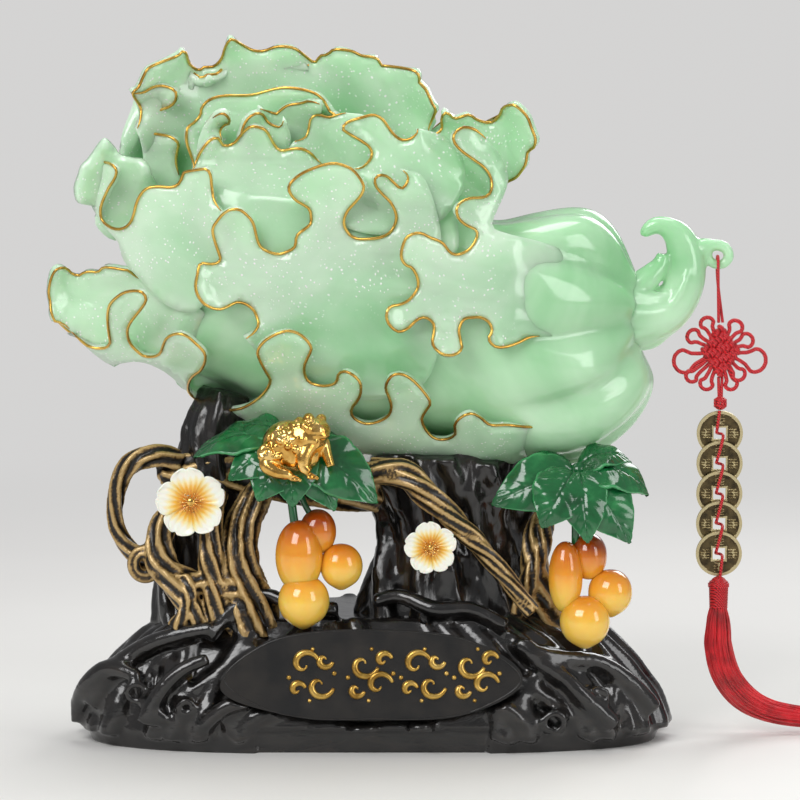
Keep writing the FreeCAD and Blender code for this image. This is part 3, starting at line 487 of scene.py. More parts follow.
for strand_number in range(3):
    stations = []
    for i, (x, z, y, thick) in enumerate(FRONT_TWIST):
        spin = 2 * math.pi * (strand_number / 3 + i * 0.24)
        beside = 0.40 * thick * math.cos(spin) * 0.7
        stations.append((x + beside, z + beside, y + 0.5 * thick * math.sin(spin), thick * 0.66))
    front_parts.append(bark_limb(stations, ridges=5, ridge=0.3, twist=0.5, steps=10))
branch("branch_twisted_front", "branch_front", gilt_bark, 0.8, front_parts)
branch("branch_right_side", "branch_right", gilt_bark, 0.9, [
    bark_limb([(91, 56, -20, 10), (87, 74, -21, 7.5), (84, 92, -21, 6.6), (86, 108, -19, 6.0),
               (95, 124, -15, 5.4), (106, 138, -12, 4.8)], twist=0.9),
    bark_limb([(70, 60, -26, 6), (78, 74, -27, 5), (86, 92, -25, 4.6), (90, 108, -22, 4.0),
               (88, 124, -18, 4.0)], ridges=5, twist=1.2)])

# The leaf sprays. Each is a cluster of green enamelled leaves on a short stalk that grows
# from the branches, glossy, with a pale midrib and side veins and edges that wave. They are
# cast thick, and lie under the toad and over the gourds.


def grey(low, high):
    """Two stops from black to white, for a mask."""
    return [(low, (0, 0, 0)), (high, (1, 1, 1))]


def mixed(tree, factor, a, b):
    return node(tree, "Mix", {0: factor, 6: a, 7: b}, data_type="RGBA").outputs[2]


green, tree, shader = surface("green_enamel", (0.012, 0.16, 0.045), 0.17, Coat_Weight=0.5,
                              Coat_Roughness=0.05)
tone = ramp(tree, cloudy(tree, 70.0, 4.0, 0.5), [(0.3, (0.004, 0.065, 0.018)), (0.55, (0.008, 0.125, 0.034)),
                                                 (0.78, (0.03, 0.24, 0.07))])
tone = mixed(tree, ramp(tree, kept(tree, "rim"), grey(0.55, 1.0)), tone, (0.06, 0.34, 0.12, 1))
tone = mixed(tree, ramp(tree, kept(tree, "vein"), grey(0.5, 0.9)), tone, (0.004, 0.045, 0.016, 1))
tree.links.new(tone, shader.inputs["Base Color"])
raised(tree, shader, cloudy(tree, 300.0, 3.0), 0.2, 0.0005)


def sheet_faces(rows, columns):
    """Faces of a sheet of points that is so many faces long and wide."""
    wide = columns + 1
    return [(a, a + 1, a + 1 + wide, a + wide)
            for i in range(rows) for a in range(i * wide, i * wide + columns)]


def thickened(made, thickness, offset=0):
    """Makes a plate so many millimetres thick of a sheet."""
    plate = made.modifiers.new("thickness", "SOLIDIFY")
    plate.thickness = thickness * MM
    plate.offset = offset


def mark_whole(made, **values):
    """The same numbers at every point of a piece."""
    for name, value in values.items():
        mark(made.data, name, [value] * len(made.data.vertices))


def green_leaf(stem, tip_point, width, bow, facing):
    """One leaf from its stem to its tip: points, faces, how near to a vein and how near to the rim."""
    base, end = seen(*stem), seen(*tip_point)
    along = end - base
    across = along.cross(Vector(facing)).normalized()
    out = across.cross(along).normalized()
    if out.dot(Vector(facing)) < 0:
        out = -out
    length_steps, width_steps, lobes = 46, 26, 3
    points, veins, rims = [], [], []
    for i in range(length_steps + 1):
        t = i / length_steps
        belly = math.sin(math.pi * min(1.0, t * 1.02) ** 0.72) ** 0.8
        teeth = 1 + 0.10 * abs(math.sin(math.pi * lobes * t * 1.6)) * (1 - t)
        half = width / 2 * belly * teeth * MM + 0.0004
        for k in range(width_steps + 1):
            s = -1 + 2 * k / width_steps
            side_vein = abs(((t * 7 - abs(s) * 1.5) % 1.0) - 0.5) * 2
            groove = max(0.0, side_vein - 0.72) / 0.28 * (1 - abs(s) * 0.5) * (0.0 if abs(s) < 0.06 else 1.0)
            midrib = math.exp(-(s / 0.09) ** 2) * (1 - t * 0.6)
            lift = bow * 4 * t * (1 - t) * MM + 0.16 * half * (1 - s * s) - 0.0011 * midrib
            lift -= 0.0006 * groove
            lift += 0.10 * half * math.sin(t * 13 + s * 2.2) * abs(s) ** 1.5
            points.append(base + along * t + across * (s * half) + out * lift)
            veins.append(max(midrib, groove * 0.8))
            rims.append(abs(s) ** 6)
    return points, sheet_faces(length_steps, width_steps), veins, rims


def spray(name, node_name, leaves, stalks):
    """A cluster of leaves on its stalks, in place of a CAD node."""
    *shape, veins, rims = together([green_leaf(*leaf_given) for leaf_given in leaves])
    made = piece(name, shape, green)
    mark(made.data, "vein", veins)
    mark(made.data, "rim", rims)
    thickened(made, 1.7)
    settled(made)
    stalk = together([limb(stations) for stations in stalks])
    stalk_piece = piece(name + "_stalk", stalk, green)
    mark_whole(stalk_piece, vein=0.35, rim=0.0)
    stalk_piece.parent = made
    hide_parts(node_name)


# Leaves as (stem, tip, width, bow, facing), then the stalks as stations
spray("spray_left", "leaf_spray_left", [
    ((-48, 155, -38), (-93, 146, -35), 25, 6, (0, -0.5, 1)),
    ((-46, 152, -42), (-75, 134, -51), 23, 4, (-0.3, -1, 0.5)),
    ((-45, 150, -44), (-60, 123, -56), 26, 4, (-0.1, -1, 0.3)),
    ((-42, 150, -44), (-42, 120, -58), 25, 4, (0, -1, 0.3)),
    ((-38, 150, -43), (-20, 118, -54), 22, 4, (0.2, -1, 0.2)),
    ((-36, 152, -42), (2, 122, -50), 29, 5, (0.1, -1, 0.5)),
    ((-40, 155, -38), (-8, 141, -34), 24, 5, (0.1, -0.6, 1)),
    ((-46, 157, -36), (-72, 160, -30), 20, 4, (-0.2, -0.5, 1))],
      [[(-38, 134, -12, 5), (-42, 143, -28, 4.5), (-42, 152, -42, 4.6)],
       [(-43, 148, -42, 2.4), (-43, 128, -46, 2.2), (-40, 104, -47, 2.2)],
       [(-42, 140, -42, 1.8), (-36, 122, -44, 1.6), (-30, 112, -42, 1.6)]])
spray("spray_right", "leaf_spray_right", [
    ((104, 139, -34), (62, 121, -38), 28, 4, (0, -1, 0.4)),
    ((104, 138, -38), (88, 109, -50), 28, 4, (-0.1, -1, 0.2)),
    ((108, 138, -38), (112, 101, -52), 23, 4, (0, -1, 0.1)),
    ((109, 138, -38), (134, 101, -47), 28, 4, (0.2, -1, 0.2)),
    ((110, 139, -34), (143, 126, -32), 25, 7, (0.1, -0.7, 1)),
    ((107, 141, -30), (134, 143, -26), 20, 6, (0.1, -0.5, 1)),
    ((103, 141, -30), (74, 136, -28), 20, 5, (0, -0.5, 1))],
      [[(106, 137, -14, 4.2), (107, 139, -24, 4.2), (107, 139, -35, 4.4)],
       [(106, 137, -36, 2.2), (105.5, 120, -38, 2.0), (105.5, 100, -37, 2.0)],
       [(108, 134, -37, 1.7), (112, 118, -38, 1.6), (114, 106, -36, 1.6)]])

# The gourds. They are cast in clear amber resin, pale yellow at the foot and shading to a
# burnt red at the top, with a high polish. They hang from the sprays by short twigs, pressed
# against each other.
amber, tree, shader = surface("amber_resin", (0.72, 0.33, 0.03), 0.1, Subsurface_Weight=0.55,
                              Subsurface_Scale=0.008, Subsurface_Radius=(1.0, 0.45, 0.1), Coat_Weight=0.6,
                              Coat_Roughness=0.04)
rise = sums(tree, "ADD", kept(tree, "height"), sums(tree, "MULTIPLY", cloudy(tree, 60.0, 3.0, 0.6), 0.3))
coloured(tree, shader, rise, [(0.3, (0.90, 0.58, 0.09)), (0.55, (0.86, 0.40, 0.035)),
                              (0.8, (0.66, 0.20, 0.012)), (1.0, (0.36, 0.06, 0.004))])
raised(tree, shader, cloudy(tree, 45.0), 0.1, 0.001)


def gourd(name, node_name, x, z, y, wide, tall, point, pale):
    """One plump gourd, drawn out to a point below, and paler by so much."""
    centre = seen(x, z, y)
    points, heights = [], []
    rings, sides = 34, 36
    for i in range(rings + 1):
        t = i / rings
        radius = wide * math.sin(math.pi * t) ** 0.92
        low = -tall * math.cos(math.pi * t) - point * math.exp(-(t / 0.09) ** 2)
        for k in range(sides):
            spin = 2 * math.pi * k / sides
            out = radius * (1 + 0.02 * math.sin(3 * spin + x))
            points.append(centre + Vector((out * math.cos(spin), out * math.sin(spin), low)) * MM)
            heights.append(0.42 + 0.42 * low / tall - pale)
    made = piece(name, (points, tube_faces(rings + 1, sides, False), heights), amber)
    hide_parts(node_name)


GOURDS = {"left": [(-38.5, 94, -48, 12.2, 18.5, 0, 0.0), (-16.8, 89, -45, 10.9, 11.4, 1.2, 0.15),
                   (-36.5, 70.5, -50, 13.2, 13.2, 1.6, 0.3), (-29, 107, -43, 9.5, 11.5, 0, -0.25)],
          "right": [(100.5, 83, -42, 8.8, 18.5, 0, 0.0), (124, 75, -38, 11.4, 11.8, 1.2, 0.15),
                    (110.8, 59.8, -44, 12.9, 13.0, 1.4, 0.3), (112.5, 94, -36, 9.6, 12.0, 0, -0.25)]}
for side, gourds in GOURDS.items():
    for number, sizes in enumerate(gourds, start=1):
        gourd(f"amber_gourd_{side}_{number}", f"gourd_{side}_{number}", *sizes)

# The blossoms. Each has five cupped petals of cream enamel that turn orange towards the
# middle, with fine rays, and gilt stamens. A stem behind each holds it to the wood.
petal_finish, tree, shader = surface("petal_enamel", (0.85, 0.80, 0.66), 0.18, Coat_Weight=0.4,
                                     Coat_Roughness=0.06, Subsurface_Weight=0.15, Subsurface_Scale=0.003)
ray = kept(tree, "ray")
blend_at = sums(tree, "ADD", kept(tree, "height"), sums(tree, "MULTIPLY", ray, 0.16))
blend_at = sums(tree, "ADD", blend_at, sums(tree, "MULTIPLY", cloudy(tree, 500.0), 0.1))
coloured(tree, shader, blend_at, [(0.25, (0.72, 0.23, 0.01)), (0.5, (0.86, 0.46, 0.05)),
                                  (0.68, (0.92, 0.76, 0.38)), (0.85, (0.90, 0.88, 0.78))])
raised(tree, shader, ray, 0.5, 0.0006)
gold_cast, tree, shader = surface("gold_cast", (0.80, 0.50, 0.14), 0.16, Metallic=1.0)
coloured(tree, shader, cloudy(tree, 160.0, 5.0, 0.4), [(0.3, (0.50, 0.24, 0.04)), (0.55, (0.83, 0.52, 0.15)),
                                                       (0.8, (0.95, 0.70, 0.32))])
raised(tree, shader, cloudy(tree, 700.0, 3.0), 0.3, 0.0004)


def ball(centre, radius, wide=1.0, tall=1.0, deep=1.0, rings=10, sides=16):
    """A rounded lump of a radius in millimetres, stretched three ways."""
    points = [centre + Vector((0, 0, radius * tall * MM))]
    for i in range(1, rings):
        rise = math.pi * i / rings
        for k in range(sides):
            turn = 2 * math.pi * k / sides
            points.append(centre + Vector((math.sin(rise) * math.cos(turn) * wide,
                                           math.sin(rise) * math.sin(turn) * deep,
                                           math.cos(rise) * tall)) * radius * MM)
    points.append(centre - Vector((0, 0, radius * tall * MM)))
    faces = [(0, 1 + k, 1 + (k + 1) % sides) for k in range(sides)]
    for i in range(rings - 2):
        for k in range(sides):
            a, b = 1 + i * sides + k, 1 + i * sides + (k + 1) % sides
            faces.append((a, a + sides, b + sides, b))
    last, end = 1 + (rings - 2) * sides, len(points) - 1
    faces += [(last + (k + 1) % sides, last + k, end) for k in range(sides)]
    return points, faces, [0.5] * len(points)


def knob(x, z, y, radius, *stretch, **shape):
    """A rounded lump at a place of the front view."""
    return ball(seen(x, z, y), radius, *stretch, **shape)


def rounded(made):
    """Splits each face of a piece in four, for a rounder skin."""
    finer = made.modifiers.new("round", "SUBSURF")
    finer.levels = finer.render_levels = 1


def petal(centre, number, size_of):
    """One of five petals: points, faces, how far out and how near to a ray."""
    turn = math.radians(98 + number * 72)
    along = Vector((math.cos(turn), 0, math.sin(turn)))
    across = Vector((-math.sin(turn), 0, math.cos(turn)))
    points, heights, rays = [], [], []
    long_steps, wide_steps = 22, 20
    for i in range(long_steps + 1):
        t = i / long_steps
        belly = 1.02 * math.sin(math.pi * min(0.985, t) ** 1.35 * 0.985) ** 0.55
        half = size_of * (0.16 + belly * (0.35 + 0.65 * t))
        if t > 0.93:
            half *= 0.93
        for k in range(wide_steps + 1):
            s = -1 + 2 * k / wide_steps
            notch = 0.07 * math.exp(-(s / 0.25) ** 2) * t
            reach_out = size_of * (0.16 + 1.84 * t * (1 - notch)) - size_of * 0.18 * abs(s) ** 2.5 * t
            cup = -size_of * (0.34 * t * t * 0.55 + 0.13 * s * s * t) + 0.35 * math.sin(k * 1.9) * t * (1 - t)
            cup -= (number % 2) * 0.55
            points.append(centre + (along * reach_out + across * (s * half)) * MM + Vector((0, cup, 0)) * MM)
            heights.append(t)
            rays.append(0.5 + 0.5 * math.cos(s * 17) * (1 - 0.4 * t))
    return points, sheet_faces(long_steps, wide_steps), heights, rays


def blossom(name, side, x, z, y, size_of, stem):
    """Five petals, the stem behind them and the stamens, in place of two CAD nodes."""
    centre = seen(x, z, y)
    *shape, rays = together([petal(centre, number, size_of) for number in range(5)])
    made = piece(name, shape, petal_finish)
    mark(made.data, "ray", rays)
    thickened(made, 1.1)
    rounded(made)
    settled(made)
    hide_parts("blossom_" + side)
    back = piece(name + "_stem", limb(stem), green)
    mark_whole(back, vein=0.2, rim=0.0)
    back.parent = made
    stamens = [knob(x, z, y - 1.2, size_of * 0.26, deep=0.6)]
    for number in range(13):
        turn = 2 * math.pi * number / 13 + 0.2
        far = size_of * (0.42 if number % 2 else 0.56)
        start = centre + Vector((0.1 * math.cos(turn), -0.8, 0.1 * math.sin(turn))) * MM
        end = centre + Vector((far * math.cos(turn), -2.6 - 0.4 * (number % 3), far * math.sin(turn))) * MM
        stamens.append(swept([start, (start + end) / 2 + Vector((0, -0.5, 0)) * MM, end],
                             [0.28 * MM, 0.24 * MM, 0.24 * MM], sides=6))
        stamens.append(ball(end, 0.62, rings=6, sides=8))
    gold_piece = piece(name + "_stamens", together(stamens), gold_cast)
    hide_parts("stamen_" + side)


blossom("blossom_large", "left", -95, 122.5, -42, 9.2,
        [(-95, 122.5, -41, 4.4), (-96, 131, -26, 3.0), (-97, 140, -11, 3.0)])
blossom("blossom_small", "right", 30, 98.5, -47, 6.9,
        [(30, 98.5, -46, 3.8), (31, 99, -32, 3.0), (33, 100, -17, 3.0)])

# The toad. It is a small cast figure with a warty back, plated in bright gold, that squats on
# the left spray. It is a plain toad of no special design.
TOAD_LUMPS = [  # body, chest, shoulders, head, mouth, two eyes and haunch
    (-44, 152.0, -54, 14.0, 1.0, 0.95, 0.8), (-39, 147.0, -57, 10.5, 1.1, 0.85, 0.7),
    (-36, 156, -56, 11.6, 1.0, 0.85, 0.85), (-30.5, 160, -57, 8.4, 1.0, 0.78, 0.95),
    (-28.5, 157.5, -60, 5.0, 1.2, 0.5, 0.9), (-33.5, 166.4, -60, 2.9), (-27.0, 166.0, -55, 2.8),
    (-52, 147.0, -58, 8.4, 0.95, 1.0, 0.8)]
TOAD_LEGS = [
    [(-53, 147, -59, 5.6), (-55, 142, -62, 4.4), (-51, 138.5, -64, 3.6), (-45, 137, -65, 2.8),
     (-42, 136.4, -65, 1.4)],
    [(-33, 153, -60, 5.2), (-36, 147, -63, 4.2), (-36, 141, -64, 3.4), (-33, 138, -65, 2.4)],
    [(-26, 154, -54, 3.6), (-24, 147, -56, 2.8), (-22, 141, -58, 2.2)]]
toad_parts = [knob(*lump) for lump in TOAD_LUMPS] + [limb(leg, 5, sides=12) for leg in TOAD_LEGS]
for x, z in ((-42, 136), (-33, 137)):
    for toe in (-1, 0, 1):
        toad_parts.append(limb([(x, z, -64.5, 1.3), (x + 2 + toe * 2.6, z - 2.4, -66, 1.0)], 4, sides=8))
random.seed(4)
for wart in range(150):
    angle, lift = random.uniform(-2.6, 0.6), random.uniform(-0.2, 1.3)
    x, z, y, radius = random.choice(((-44, 152.0, -54, 13.6), (-36, 156, -56, 11.2), (-52, 147.0, -58, 8.0)))
    toad_parts.append(knob(x + radius * math.cos(angle) * math.cos(lift), z + radius * 0.86 * math.sin(lift),
                           y + radius * 0.8 * math.sin(angle) * math.cos(lift), random.uniform(1.2, 2.3),
                           rings=6, sides=8))
toad = piece("gold_toad", together(toad_parts), gold_cast)
melted(toad, 0.55, 2, 0.4)
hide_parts("toad")

# The two pegs that hold the cabbage on the middle trunk: plain turned hardwood, glued into
# blind holes in both. They keep their CAD shape.
peg_wood, tree, shader = surface("peg_wood", (0.42, 0.25, 0.12), 0.55)
coloured(tree, shader, cloudy(tree, 60.0, 3.0, 0.4, stretched(tree, 9.0, 9.0, 0.7)),
         [(0.35, (0.33, 0.18, 0.08)), (0.65, (0.50, 0.31, 0.16))])
for name in ("peg_1", "peg_2"):
    dressed(name, peg_wood)

# The stalk of the cabbage. It is the cast jade-green body that everything grows from: smooth,
# milky and highly polished, with plump ribs that run together at the root end. The head's
# outline, inside which the leaves lie, is set here too.
HEAD = [(149, 222), (149, 188), (130, 157), (95, 140.5), (45, 137), (-5, 142), (-55, 157), (-100, 178),
    (-142, 193), (-171, 213), (-174, 247), (-160, 290), (-142, 324), (-118, 348), (-85, 363), (-45, 366),
    (-5, 361), (35, 349), (70, 334), (93, 309), (107, 285), (128, 272), (144, 248)]
STALK = [(61, 270), (86, 274.5), (112, 277), (127, 266), (136, 246), (139.5, 236), (140.5, 221),
    (139.5, 204), (146.5, 186), (138, 165), (118, 147.5), (95, 141), (66, 138.3), (20, 138.5), (-25, 150),
    (-70, 168), (-108, 198), (-118, 235), (-95, 268), (-45, 285), (15, 282)]
HALF_DEPTH, DIRECTIONS = 62.0, 720


def clamped(share):
    return min(1.0, max(0.0, share))


def polar(outline, centre):
    """Reach of an outline from its centre, smoothed, in so many directions."""
    found = [(math.atan2(z - centre[1], x - centre[0]), math.hypot(x - centre[0], z - centre[1]))
             for x, z in smooth_line(outline, 10, closed=True)]
    found.sort()
    table = []
    for k in range(DIRECTIONS):
        turn = -math.pi + 2 * math.pi * (k + 0.5) / DIRECTIONS
        table.append(min(found, key=lambda place: abs(place[0] - turn))[1])
    return [sum(table[(k + j) % DIRECTIONS] for j in range(-3, 4)) / 7 for k in range(DIRECTIONS)]


def reach_towards(table, turn):
    place = (turn + math.pi) / (2 * math.pi) * DIRECTIONS - 0.5
    low = math.floor(place)
    a, b = table[low % DIRECTIONS], table[(low + 1) % DIRECTIONS]
    return a + (b - a) * (place - low)


HEAD_CENTRE = (-8.0, 248.0)
head_reach = polar(HEAD, HEAD_CENTRE)


def plump(x, z, inward=0.0):
    """Half depth of the head at a place of the front view, so many millimetres under its outside."""
    share = 1 - inward / HALF_DEPTH
    out = math.hypot(x - HEAD_CENTRE[0], z - HEAD_CENTRE[1])
    edge = reach_towards(head_reach, math.atan2(z - HEAD_CENTRE[1], x - HEAD_CENTRE[0])) * share
    if out >= edge:
        return 0.0
    return share * HALF_DEPTH * math.sin(math.acos((out / edge) ** (1 / 0.85)))


def jade(name, pale, speckle):
    """Milky green cast stone: cloudy, lit from within, polished, and with white dots on the blades."""
    base, deep = (0.41, 0.69, 0.42), (0.27, 0.58, 0.29)
    material, tree, shader = surface(name, base, 0.14, Subsurface_Weight=0.6, Subsurface_Scale=0.011,
                                     Subsurface_Radius=(0.7, 1.0, 0.75), Coat_Weight=0.35,
                                     Coat_Roughness=0.05)
    place = place_of(tree)
    tone = ramp(tree, cloudy(tree, 13.0, 4.0, 0.5, place), [(0.34, deep), (0.5, base), (0.68, pale)])
    near_rim = kept(tree, "blade")
    tone = mixed(tree, sums(tree, "MULTIPLY", near_rim, 0.55), tone, (*pale, 1))
    if speckle:
        bent = mixed(tree, 0.02, place, node(tree, "TexNoise", {"Vector": place, "Scale": 22.0}).outputs[1])
        cells = node(tree, "TexVoronoi", {"Vector": bent, "Scale": 400.0, "Randomness": 0.8})
        dots = ramp(tree, cells.outputs["Distance"], [(0.14, (1, 1, 1)), (0.24, (0, 0, 0))])
        patch = sums(tree, "MULTIPLY", ramp(tree, cloudy(tree, 60.0, 2.0, 0.0, place), grey(0.33, 0.43)),
                     ramp(tree, kept(tree, "fold"), grey(0.0, 0.5)))
        share = sums(tree, "MULTIPLY", sums(tree, "MULTIPLY", dots, patch),
                     ramp(tree, near_rim, grey(0.04, 0.25)))
        tone = mixed(tree, sums(tree, "MULTIPLY", share, speckle), tone, (0.93, 1.0, 0.93, 1))
        raised(tree, shader, sums(tree, "ADD", cloudy(tree, 90.0, 3.0, 0.0, place), share), 0.35, 0.0007)
    else:
        raised(tree, shader, cloudy(tree, 26.0, 2.0, 0.0, place), 0.1, 0.0012)
    tree.links.new(tone, shader.inputs["Base Color"])
    return material


jade_smooth = jade("jade_smooth", (0.56, 0.81, 0.56), 0.0)
STALK_CENTRE, STALK_DEPTH = (24.0, 212.0), 58.0
stalk_reach = polar(STALK, STALK_CENTRE)
RIB_CREASES = [-118, -76, -33, 4, 45, 84, 118, 156, 196, 226]


def ribbed(x, y, z):
    """How far a place of the stalk is drawn in beside a crease between two ribs, in millimetres."""
    middle = 209.0 + max(0.0, x - 100) * 0.22
    turn = math.degrees(math.atan2((z - middle) / 68.0, -y / STALK_DEPTH))
    if turn < -134:
        turn += 360
    gap = min(abs(turn - crease) for crease in RIB_CREASES)
    return 7.5 * math.exp(-(gap / 8.0) ** 1.3) * clamped((x - 55) / 45.0)


stalk_points = []
AROUND, ACROSS = 168, 44
for i in range(ACROSS + 1):
    slope = math.radians(-88 + 176 * i / ACROSS)
    y = STALK_DEPTH * math.sin(slope)
    for k in range(AROUND):
        turn = 2 * math.pi * k / AROUND - math.pi
        out = reach_towards(stalk_reach, turn) * math.cos(slope) ** 0.85
        x, z = STALK_CENTRE[0] + out * math.cos(turn), STALK_CENTRE[1] + out * math.sin(turn)
        crease = ribbed(x, y, z)
        pull = 1 - crease / max(60.0, out)
        keep = clamped((150 - x) / 30.0)
        # Where the leaves lie over it, the stalk stays under them
        limit = plump(x, z, 10.5 - 8.5 * clamped((x - 40) / 45.0))
        in_head = clamped((115 - x) / 30.0)
        sunk = y
        if in_head > 0 and abs(y) > limit:
            sunk = y + (math.copysign(limit, y) - y) * in_head
        stalk_points.append(Vector((STALK_CENTRE[0] + (x - STALK_CENTRE[0]) * (1 - (1 - pull) * keep),
                                    sunk * (1 - crease / STALK_DEPTH),
                                    STALK_CENTRE[1] + (z - STALK_CENTRE[1]) * pull)) * MM)
stalk = piece("jade_stalk", (stalk_points, tube_faces(ACROSS + 1, AROUND)), jade_smooth)
mark_whole(stalk, blade=0.0)
rounded(stalk)
settled(stalk)
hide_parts("cabbage_stalk")

# The leaves. Each is a thick cast sheet over the one inside it, smooth and greener on its
# outer face and pale with raised white dots along its ruffled blade. A gilt line is painted
# on each rim. They are cast with the stalk, so they need no fixing.
jade_blade = jade("jade_blade", (0.62, 0.85, 0.61), 0.95)
gilt, tree, shader = surface("gilt_line", (0.60, 0.36, 0.07), 0.25, Metallic=0.85)
coloured(tree, shader, cloudy(tree, 90.0, 3.0), [(0.3, (0.42, 0.22, 0.035)), (0.6, (0.72, 0.46, 0.10)),
                                                 (0.8, (0.85, 0.62, 0.20))])
raised(tree, shader, cloudy(tree, 400.0), 0.3, 0.0003)


def evenly(line, gap):
    """Places so far apart along a line."""
    places, left = [line[0]], gap
    for a, b in zip(line, line[1:]):
        length = math.dist(a, b)
        while length > 0 and left <= length:
            t = left / length
            a = tuple(p + (q - p) * t for p, q in zip(a, b))
            places.append(a)
            length = math.dist(a, b)
            left = gap
        left -= length
    return places


def lobes_of(margin, reach=14):
    """How far each place of an outline stands out from the mean of those up to reach places away."""
    count = len(margin)
    lobes = []
    for i in range(count):
        around_it = [margin[(i + k) % count] for k in range(-reach, reach + 1)]
        mean = [sum(p[axis] for p in around_it) / len(around_it) for axis in (0, 1)]
        ahead, behind = margin[(i + 2) % count], margin[i - 2]
        out = (ahead[1] - behind[1], behind[0] - ahead[0])
        length = math.hypot(*out) or 1
        lobes.append(((margin[i][0] - mean[0]) * out[0] + (margin[i][1] - mean[1]) * out[1]) / length)
    area = sum(a[0] * b[1] - b[0] * a[1] for a, b in zip(margin, margin[1:] + margin[:1]))
    return [-lobe for lobe in lobes] if area < 0 else lobes


def filled(margin, spacing=3.3, clear=2.0):
    """Places and faces that fill an outline with a grid of so much spacing, kept clear of its edge."""
    lows = [min(p[axis] for p in margin) for axis in (0, 1)]
    highs = [max(p[axis] for p in margin) for axis in (0, 1)]
    inner = []
    for row in range(int((highs[1] - lows[1]) / spacing) + 1):
        for column in range(int((highs[0] - lows[0]) / spacing) + 1):
            place = (lows[0] + (column + 0.5 * (row % 2)) * spacing, lows[1] + row * spacing)
            if min((place[0] - p[0]) ** 2 + (place[1] - p[1]) ** 2 for p in margin) > clear ** 2:
                inner.append(place)
    edges = [(i, (i + 1) % len(margin)) for i in range(len(margin))]
    made = geometry.delaunay_2d_cdt([Vector(p) for p in margin + inner], edges, [], 1, 1e-5)
    return [tuple(p) for p in made[0]], [tuple(face) for face in made[2]]


LEAF_LIMIT = 65.5


def leaf(name, node_name, rim, hidden, under=0.0, flare=6.0, fold=0.75, back=False, sheet=2.6, widest=9.0,
         gold=True, level=None, pleat=0.9, gold_radius=0.78):
    """One leaf: rim is its gilt edge in the front view, hidden is the rest of its outline.

    under is its depth below the outside of the head. The rim flares out by flare and waves with
    its own lobes, and the folds run inwards from it. level gives a depth of its own instead.
    """
    side = 1 if back else -1
    free = evenly(smooth_line(rim, 6), 2.2)
    margin = free + evenly(smooth_line([rim[-1]] + hidden + [rim[0]], 6), 3.4)[1:-1]
    lobes = lobes_of(margin)
    flat, faces = filled(margin)
    points, blades, folds = [], [], []
    for x, z in flat:
        weights = [(1 / ((x - p[0]) ** 2 + (z - p[1]) ** 2 + 3.0) ** 1.5, lobe)
                   for p, lobe in zip(free, lobes)]
        lobe = sum(w * value for w, value in weights) / sum(w for w, _ in weights)
        gap_to = math.sqrt(min((x - p[0]) ** 2 + (z - p[1]) ** 2 for p in free))
        lifted = flare * math.exp(-(gap_to / widest) ** 1.6) + fold * lobe * math.exp(-gap_to / 26.0)
        # The pleats run out from the root end of the cabbage
        turn = math.atan2(z - 215.0, x - 125.0)
        bend = 1.6 * noise.noise(Vector((x, z, 40.0 * under)) * 0.022)
        wave = 0.6 * math.sin(turn * 24 + bend + under) + 0.4 * math.sin(turn * 53 + 2 * bend)
        lifted += 1.9 * pleat * wave * (0.35 + 0.65 * min(1.0, gap_to / 12.0)) * math.exp(-gap_to / 60.0)
        folds.append(0.5 + 0.5 * wave)
        # Towards the stalk a leaf of the outside lies down and sinks into it
        apart = clamped((76 - x) / 30.0) if level is None else 1.0
        lifted *= 0.2 + 0.8 * apart
        depth = plump(x, z, under + 0.2 * max(0.0, x - 74.0)) if level is None else level(x, z)
        y = side * depth + side * lifted
        points.append(seen(x, z, max(-LEAF_LIMIT, min(LEAF_LIMIT, y))))
        blades.append(math.exp(-(gap_to / 24.0) ** 2) * apart)
    made = piece(name, (points, faces), jade_blade)
    mark(made.data, "blade", blades)
    mark(made.data, "fold", folds)
    if node_name:
        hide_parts(node_name)
    towards = sum(f.normal.y * f.area for f in made.data.polygons)
    thickened(made, sheet, -1 if towards * side > 0 else 1)
    settled(made)
    if gold:
        ends = len(free) - 1
        edge = [place + Vector((0, side * 0.25, 0)) * MM for place in points[:len(free)]]
        radii = [gold_radius * MM * min(1.0, 0.35 + 0.2 * min(i, ends - i)) for i in range(len(free))]
        rim_piece = piece(name + "_gilt", swept(edge, radii, sides=8), gilt)
        rim_piece.parent = made
LOWER_RIM = [(-156.3, 211.5), (-150, 205.6), (-146, 203.5), (-142, 203), (-138.4, 203.5), (-136.5, 206),
    (-137, 210), (-137.6, 215), (-137.7, 220.5), (-136.7, 225.4), (-133.6, 229), (-129, 232), (-123, 233),
    (-119, 231.6), (-117.7, 228), (-120, 224), (-124, 219), (-126.7, 215), (-127.5, 211), (-126.3, 206),
    (-123, 202), (-119, 199), (-114, 198.7), (-110.5, 200.4), (-108.8, 205), (-106.7, 208.7), (-102, 210.6),
    (-97, 209.6), (-91.5, 205), (-87.4, 200.4), (-87.4, 195.6), (-90, 191), (-93.6, 188.6), (-96, 184.5),
    (-95.7, 180), (-92, 176.5), (-86.7, 173.4), (-81, 171), (-75, 170.6), (-67.5, 172), (-60, 176.5),
    (-55, 182), (-53.4, 186.5), (-55.3, 190), (-58.3, 195.6), (-60, 201), (-57.5, 205.6), (-53, 209),
    (-45.4, 212), (-39.3, 211), (-34.7, 207.5), (-32, 203), (-34, 198), (-35.6, 194), (-35.4, 189),
    (-32.4, 185), (-25.5, 183.4), (-19.4, 185), (-18, 189.5), (-15, 191), (-11, 189.5), (-7, 185.7),
    (-6.3, 181), (-7.6, 176.5), (-11.4, 171), (-10, 166.6), (-4, 163.7), (2.7, 164.7), (8, 168),
    (9.5, 172.7), (8, 178), (6.5, 182.6), (9, 188), (13.7, 189.7), (19, 187.6), (24.4, 182.6), (29.7, 175),
    (27.4, 170.4), (25.3, 166), (27.4, 160.5), (32, 156), (38, 155.5), (42.7, 158), (42.5, 163), (45.7, 167),
    (51, 169), (55.6, 167), (61, 163), (69.4, 163), (79, 162), (88.4, 161.8)]
